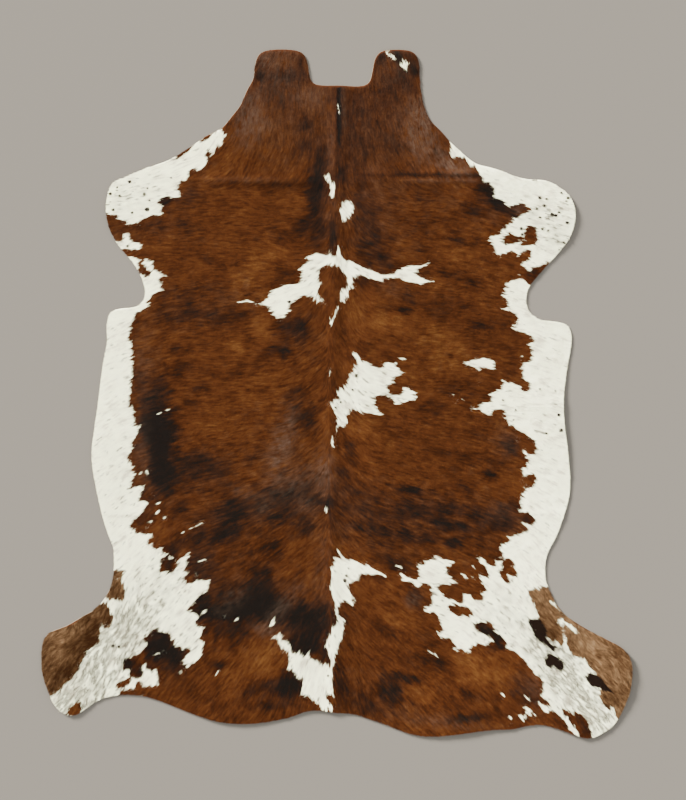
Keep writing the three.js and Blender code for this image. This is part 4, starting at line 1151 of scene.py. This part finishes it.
def painted(places):
    """Which kind of hair grows at each place."""
    found = np.full(len(places), BROWN)
    for _, kind, outline in MARKINGS:
        ring = on_hide(*np.array(outline).T)
        found[inside(ring, places)] = kind
    for start, end, reach in dashes():
        found[near_line(places, start, end, reach)] = WHITE
    return found


def specked(places):
    """True where a dark speck's short hairs grow."""
    found = np.zeros(len(places), bool)
    for mark, size in zip(on_hide(SPECKS["across"], SPECKS["down"]), SPECKS["size"]):
        found[near_line(places, mark, mark, size * square / 2)] = True
    return found


# ------------------------------------------------------------------ the hairs


def roots(rng):
    """Places of the hairs' roots: a close, slightly uneven pattern inside the cut edge."""
    step = math.sqrt(area_of(edge_ring) / HAIRS * 2 / math.sqrt(3))
    places = close_rows(hide_low, hide_high, step)
    places += rng.uniform(-ROOT_SHIFT, ROOT_SHIFT, places.shape) * step
    return places[depth(places) > RIM_CLEAR]


def shares(name, count, rng):
    """Each hair's share of a measure."""
    return rng.uniform(*SHARES[name], count)


def scatters(name, count, rng):
    """How far each hair departs from its neighbours."""
    return rng.normal(0, SCATTERS[name], count)


def kinds_of(places, ways, lengths, rng):
    """Each hair's kind, with tufts that run out over the next colour."""
    tuft, drift = (on_coat(layered("tuft", rng), places)[:, None] * TUFT for _ in range(2))
    ragged = places + ways * tuft + aside(ways) * drift * TUFT_ASIDE
    ragged += rng.normal(0, TUFT_STRAY, ragged.shape)
    near = painted(ragged + ways * lengths[:, None] * COLOUR_NEAR + aside(ways) * COLOUR_ASIDE)
    far = painted(ragged + ways * lengths[:, None] * COLOUR_FAR - aside(ways) * COLOUR_ASIDE)
    return np.where(near == WHITE, far, near)


def combed_out(places, rng):
    """The ways of the hairs, and how the coat swells where they grow."""
    shape = raster(SWAY_PITCH).shape[:2]
    sway = read(sum(wide * clouds(shape, grain, rng) for wide, grain in SWAYS), SWAY_PITCH, places)
    swell = read(clouds(shape, SWELL_GRAIN, rng), SWAY_PITCH, places)
    sway = np.where(painted(places) == TAN, sway * TAN_SWAY, sway)
    return turned(lie(places), sway + scatters("way", len(places), rng)), swell


def trimmed(places, ways, rng):
    """The hairs' lengths, shorter where they would reach too far past the cut edge."""
    count = len(places)
    lengths = HAIR_LENGTH * shares("length", count, rng)
    room = depth(places + ways * lengths[:, None]) + OVERHANG * shares("overhang", count, rng)
    return np.where(room < 0, np.maximum(lengths + room, HAIR_SHORTEST), lengths)


def toned(kinds, specks, ticks, middles, thick, rng):
    """The hairs' shades, how cold their brown is, and how grey they are."""
    count = len(kinds)
    maps = (*shade_maps(rng), pale_map(rng), layered("mottle", rng), *grey_maps(thick, rng))
    shades, cools, pales, mottles, sheen, flecks = (on_coat(values, middles) for values in maps)
    shades += scatters("shade", count, rng)
    pales += scatters("pale", count, rng)
    # the brown's grey is painted sheen, where the hair catches the light
    sheen *= shares("sheen", count, rng) * np.where(kinds == BLACK, SHEEN_ON_BLACK, 1) * ~specks
    flecks = np.where(ticks, 1.0, flecks) * shares("fleck", count, rng)
    coloured = [kinds == WHITE, kinds == TAN, kinds == BLACK]
    shades = np.select(coloured, [pales, shades + mottles, SHADE_BLACK], shades)
    return shades, cools, np.where(kinds == WHITE, flecks, sheen)


def grown(places, rng):
    """Every hair's place, way, size and colours."""
    count = len(places)
    ways, swell = combed_out(places, rng)
    lengths = trimmed(places, ways, rng)
    kinds = kinds_of(places, ways, lengths, rng)
    specks = specked(places + ways * SPECK_LENGTH / 2)
    kinds[specks] = BLACK
    thick = np.clip(ovals(ROANS, "thick", raster(COAT_PITCH)), 0, 1)
    ticks = on_coat(spots("tick", thick, rng), places + ways * TICK_LENGTH / 2) > 0
    ticks &= kinds == WHITE
    short = [specks, ticks]
    lengths = np.select(short, [SPECK_LENGTH, TICK_LENGTH], lengths)
    middles = places + ways * lengths[:, None] * COLOUR_MIDDLE
    shades, cools, greys = toned(kinds, specks, ticks, middles, thick, rng)
    widths = HAIR_WIDTH * shares("width", count, rng)
    rises = HAIR_RISE * (SWELL_BASE + SWELL_RISE * np.clip(swell, -2, 2))
    return {
        "place": places,
        "way": ways,
        "length": lengths,
        "width": np.select(short, [SPECK_WIDTH, TICK_WIDTH], widths),
        "rise": rises * shares("rise", count, rng),
        "raised": SPECK_RAISED * specks + TICK_RAISED * ticks,
        "roll": scatters("roll", count, rng) + SWELL_ROLL * swell,
        "white": (kinds == WHITE).astype(float),
        "tan": (kinds == TAN).astype(float),
        "shade": shades,
        "cool": np.clip(cools + scatters("cool", count, rng), 0, 1),
        "grey": greys,
        "chance": shares("chance", count, rng),
    }


def blade_corners(hair):
    """Each blade's two root corners and its tip."""
    way, place = hair["way"], hair["place"]
    side = aside(way) * hair["width"][:, None] / 2
    tip = place + way * hair["length"][:, None]
    tilt = np.sin(hair["roll"]) * hair["width"] / 2
    root_height = lift(place) + SKIN - ROOT_DEPTH + hair["raised"]
    tip_height = lift(tip) + SKIN + hair["rise"] + hair["raised"]
    return np.stack([
        np.column_stack([place - side, root_height - tilt]),
        np.column_stack([place + side, root_height + tilt]),
        np.column_stack([tip, tip_height]),
    ], axis=1)


def blade_normals(hair, corners):
    """Directions for shading: in part the blade's own, and in part the skin's below it."""
    facet = np.cross(corners[:, 1] - corners[:, 0], corners[:, 2] - corners[:, 0])
    facet /= np.linalg.norm(facet, axis=1, keepdims=True)
    middle = hair["place"] + hair["way"] * hair["length"][:, None] / 2
    ground = np.column_stack([-slope(middle), np.ones(len(middle))])
    return facet * HAIR_FACET + ground * (1 - HAIR_FACET)


def blades(hair, name):
    """One mesh of hairs: each is a three-cornered blade, wide at its root."""
    corners = blade_corners(hair)
    count = len(corners)
    mesh = bpy.data.meshes.new(name)
    mesh.vertices.add(count * 3)
    mesh.vertices.foreach_set("co", corners.astype(np.float32).ravel())
    mesh.loops.add(count * 3)
    mesh.loops.foreach_set("vertex_index", np.arange(count * 3, dtype=np.int32))
    mesh.polygons.add(count)
    mesh.polygons.foreach_set("loop_start", np.arange(0, count * 3, 3, dtype=np.int32))
    mesh.polygons.foreach_set("use_smooth", np.ones(count, bool))
    for trait in HAIR_TRAITS:
        keep(mesh, trait, np.repeat(hair[trait], 3))
    keep(mesh, "along", np.tile([0, 0, 1], count))
    lay_out(mesh, count)
    mesh.update()
    normals = np.repeat(blade_normals(hair, corners), 3, axis=0)
    mesh.normals_split_custom_set_from_vertices(normals.astype(np.float32))
    return mesh


def keep(mesh, trait, values):
    """Gives each point of a mesh its value of a trait, for the finishes."""
    layer = mesh.attributes.new(trait, "FLOAT", "POINT")
    layer.data.foreach_set("value", values.astype(np.float32))


def lay_out(mesh, count):
    """The map for baked colours: each hair has a small cell of its own."""
    wide = math.ceil(math.sqrt(count))
    number = np.arange(count)
    cell = np.stack([number % wide, number // wide], axis=-1)
    places = (cell[:, None, :] + np.array(BAKED_CORNERS)) / wide
    layer = mesh.uv_layers.new(name="OFBake")
    layer.data.foreach_set("uv", places.astype(np.float32).ravel())


def strips(hair):
    """The hairs in strips across the hide, from neck to rump, each row by row."""
    order = np.argsort(-hair["place"][:, 1])
    for name, part in zip(COAT_STRIPS, np.array_split(order, len(COAT_STRIPS))):
        rows = np.array_split(part, math.ceil(math.sqrt(len(part))))
        part = np.concatenate([row[np.argsort(hair["place"][row, 0])] for row in rows])
        yield name, {trait: values[part] for trait, values in hair.items()}


# ------------------------------------------------------------------ finishes


def tint(red, green, blue):
    """A colour that is given as a screen shows it, from 0 to 255, in light's own measure."""
    parts = [value / 255 for value in (red, green, blue)]
    linear = [c / 12.92 if c <= 0.04045 else ((c + 0.055) / 1.055) ** 2.4 for c in parts]
    return (*linear, 1.0)


# The coat's colours, from the lightest shade to the darkest.

WARM_SHADES = [
    (0.00, tint(82, 51, 23)), (0.25, tint(66, 35, 14)), (0.50, tint(51, 24, 8)),
    (0.75, tint(33, 15, 5)), (1.00, tint(18, 12, 8)),
]
COOL_SHADES = [
    (0.00, tint(79, 55, 39)), (0.25, tint(63, 40, 25)), (0.50, tint(47, 27, 16)),
    (0.75, tint(31, 19, 13)), (1.00, tint(18, 14, 11)),
]
TAN_SHADES = [
    (0.00, tint(118, 93, 66)), (0.30, tint(93, 70, 47)), (0.60, tint(63, 43, 25)),
    (1.00, tint(35, 18, 6)),
]
WHITE_SHADES = [(0.0, tint(254, 254, 213)), (0.5, tint(248, 246, 206)), (1.0, tint(205, 197, 166))]
# the grey of the painted sheen, where the hair catches the light
SHEEN_GREY = tint(72, 55, 43)
GREY_FLECK = tint(52, 43, 35)
SUEDE = [(0.3, tint(124, 110, 92)), (0.7, tint(146, 134, 115))]
SUEDE_NAP = tint(104, 90, 73)
CUT_FIBRES = [(0.3, tint(96, 84, 68)), (0.7, tint(126, 112, 94))]
FLOOR = tint(94, 89, 81)


class Wire:
    """A node's output. Sums written with it add their own Math nodes."""

    def __init__(self, finish, socket):
        self.finish = finish
        self.socket = socket

    def sum(self, operation, first, second):
        """The output of a Math node."""
        return self.finish.node("ShaderNodeMath", {"operation": operation}, {0: first, 1: second})

    def __add__(self, other):
        return self.sum("ADD", self, other)

    def __sub__(self, other):
        return self.sum("SUBTRACT", self, other)

    def __rsub__(self, other):
        return self.sum("SUBTRACT", other, self)

    def __mul__(self, other):
        return self.sum("MULTIPLY", self, other)

    __radd__ = __add__
    __rmul__ = __mul__


class Finish:
    """One material: its nodes are added by type, settings and sockets."""

    def __init__(self, name, **constants):
        self.material = bpy.data.materials.new(name)
        self.material.use_nodes = True
        self.tree = self.material.node_tree
        self.shader = self.tree.nodes["Principled BSDF"]
        self.feed(**constants)

    def node(self, kind, settings=None, sockets=None, output=0):
        """Adds a node: its settings first, then the values or wires of its sockets."""
        node = self.tree.nodes.new(kind)
        for name, value in (settings or {}).items():
            if name == "stops":
                self.stops(node.color_ramp, value)
            else:
                setattr(node, name, value)
        for name, value in (sockets or {}).items():
            self.plug(self.found(node.inputs, name), value)
        return Wire(self, self.found(node.outputs, output))

    @staticmethod
    def found(sockets, name):
        """A socket by its number, its identifier or its name."""
        if isinstance(name, int):
            return sockets[name]
        return next(socket for socket in sockets if name in (socket.identifier, socket.name))

    @staticmethod
    def stops(ramp, stops):
        """Gives a ramp its places and colours."""
        while len(ramp.elements) < len(stops):
            ramp.elements.new(0.5)
        for element, (place, colour) in zip(ramp.elements, stops):
            element.position = place
            element.color = colour

    def plug(self, socket, value):
        """Sets a socket to a value or links a wire to it."""
        if isinstance(value, Wire):
            self.tree.links.new(value.socket, socket)
        else:
            socket.default_value = value

    def feed(self, **values):
        """Sets the shader's own sockets, to constants or to wires."""
        for name, value in values.items():
            self.plug(self.shader.inputs[name.replace("_", " ")], value)

    def trait(self, name):
        """What the mesh keeps under a name."""
        return self.node("ShaderNodeAttribute", {"attribute_name": name}, output="Fac")

    def ramp(self, factor, stops):
        """Colours along a ramp."""
        return self.node("ShaderNodeValToRGB", {"stops": stops}, {"Fac": factor}, "Color")

    def blend(self, factor, first, second):
        """From one colour to another."""
        sockets = {"Factor_Float": factor, "A_Color": first, "B_Color": second}
        return self.node("ShaderNodeMix", {"data_type": "RGBA"}, sockets, "Result_Color")

    def noise(self, scale, detail=2.0):
        """Fine random values, fixed to the piece."""
        places = self.node("ShaderNodeTexCoord", output="Object")
        sockets = {"Vector": places, "Scale": scale, "Detail": detail}
        return self.node("ShaderNodeTexNoise", {}, sockets, "Fac")

    def bump(self, height, strength, distance):
        """A normal that follows small heights."""
        sockets = {"Height": height, "Strength": strength, "Distance": distance}
        return self.node("ShaderNodeBump", {}, sockets, "Normal")


def combed_coat():
    """Short glossy hair: brindle browns with painted sheen, white, and tan on the legs."""
    finish = Finish("combed_coat", Specular_IOR_Level=0.02)
    shade = finish.trait("shade") + (finish.noise(scale=420) - 0.5) * GRAIN_SHADE
    chance = finish.trait("chance")
    grey = finish.trait("grey")
    warm = finish.ramp(shade, WARM_SHADES)
    brown = finish.blend(finish.trait("cool"), warm, finish.ramp(shade, COOL_SHADES))
    tan = finish.ramp(shade + (chance - 0.5) * TAN_CHANCE, TAN_SHADES)
    dyed = finish.blend(finish.trait("tan"), brown, tan)
    # painted sheen: the brown greys where the hair catches the light
    dyed = finish.blend(grey, dyed, SHEEN_GREY)
    white = finish.blend(grey, finish.ramp(shade, WHITE_SHADES), GREY_FLECK)
    colour = finish.blend(finish.trait("white"), dyed, white)
    finish.feed(Base_Color=colour, Roughness=DULL - finish.trait("along") * TIP_GLOSS)
    return finish.material


def coat_ground():
    """The skin between the hairs, in the middle shade of the hair that grows there."""
    finish = Finish("coat_ground", Roughness=0.9, Specular_IOR_Level=0.05)
    brown, white = (dict(shades)[0.5] for shades in (WARM_SHADES, WHITE_SHADES))
    finish.feed(Base_Color=finish.blend(finish.trait("white"), brown, white))
    return finish.material


def flesh_suede():
    """The napped flesh side."""
    finish = Finish("flesh_suede", Roughness=0.95, Specular_IOR_Level=0.15)
    patches = finish.noise(scale=9, detail=6)
    nap = finish.noise(scale=900, detail=3)
    colour = finish.blend((nap - 0.5) * 0.5 + 0.25, finish.ramp(patches, SUEDE), SUEDE_NAP)
    finish.feed(Base_Color=colour, Normal=finish.bump(nap, strength=0.5, distance=0.0006))
    return finish.material


def cut_leather():
    """The fibres of the cut edge."""
    finish = Finish("cut_leather", Roughness=0.85, Specular_IOR_Level=0.2)
    fibres = finish.noise(scale=700, detail=4)
    bump = finish.bump(fibres, strength=0.4, distance=0.0004)
    finish.feed(Base_Color=finish.ramp(fibres, CUT_FIBRES), Normal=bump)
    return finish.material


# ------------------------------------------------------------------ assembly


def linked(name, data):
    """A new object in the scene."""
    thing = bpy.data.objects.new(name, data)
    bpy.context.scene.collection.objects.link(thing)
    return thing


def placed(mesh, materials):
    """A piece of the rug, riding on the hide's body."""
    piece = linked(mesh.name, mesh)
    for material in materials:
        mesh.materials.append(material)
    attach(piece, "root")
    return piece


def build_skin():
    """The tanned skin, in place of the plain hide."""
    mesh = skin_mesh(edge_ring)
    places = np.array([vert.co[:2] for vert in mesh.vertices])
    keep(mesh, "white", painted(places) == WHITE)
    skin = placed(mesh, [flesh_suede(), coat_ground(), cut_leather()])
    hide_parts("hide")
    return skin


def build_coat(rng):
    """The coat, one piece for each strip of it."""
    hair = grown(roots(rng), rng)
    material = combed_coat()
    return [placed(blades(part, name), [material]) for name, part in strips(hair)]


def floor():
    """A plain pale floor."""
    reach = FLOOR_REACH
    mesh = bpy.data.meshes.new("floor")
    corners = [(-reach, -reach, 0), (reach, -reach, 0), (reach, reach, 0), (-reach, reach, 0)]
    mesh.from_pydata(corners, [], [(0, 1, 2, 3)])
    ground = linked("floor", mesh)
    ground.location.z = -FLOOR_DROP
    finish = Finish("pale_floor", Base_Color=FLOOR, Roughness=0.9, Specular_IOR_Level=0.1)
    mesh.materials.append(finish.material)


def sun(name, strength, azimuth, height, softness, colour):
    """Parallel light from an azimuth, in degrees clockwise from the neck, at a height."""
    light = bpy.data.lights.new(name, "SUN")
    light.energy = strength
    light.angle = math.radians(softness)
    light.color = colour
    turn, rise = math.radians(azimuth), math.radians(height)
    flat = math.cos(rise)
    towards = Vector((math.sin(turn) * flat, math.cos(turn) * flat, math.sin(rise)))
    linked(name, light).rotation_euler = towards.to_track_quat("Z", "Y").to_euler()


def studio():
    """Soft light from the upper left, and an even fill from all round."""
    sun("key", strength=25.8, azimuth=-48, height=18, softness=14, colour=(1.0, 0.985, 0.955))
    world = bpy.data.worlds.new("studio")
    world.use_nodes = True
    fill = world.node_tree.nodes["Background"]
    fill.inputs["Color"].default_value = FILL_COLOUR
    fill.inputs["Strength"].default_value = FILL_LIGHT
    bpy.context.scene.world = world


def camera():
    """Straight above the hide, with the whole chart in view."""
    lens = bpy.data.cameras.new("camera")
    lens.lens = LENS
    lens.sensor_width = SENSOR
    lens.clip_end = 50
    eye = linked("camera", lens)
    middle = on_hide(VIEW[0] / 2, VIEW[1] / 2)
    away = VIEW[1] * square * LENS / SENSOR
    eye.location = (middle[0], middle[1], away)
    bpy.context.scene.camera = eye


rng = np.random.default_rng(SEED)
body = welded("hide")
edge_ring = cut_edge(body)
depths = rim_map(edge_ring)
lifts = lift_map(body)
body.free()
folds = crease_map("height")
lies = lie_map()
coat_ways = lie(raster(COAT_PITCH))

skin = build_skin()
coat = build_coat(rng)
area_of(edge_ring)

floor()
studio()
camera()
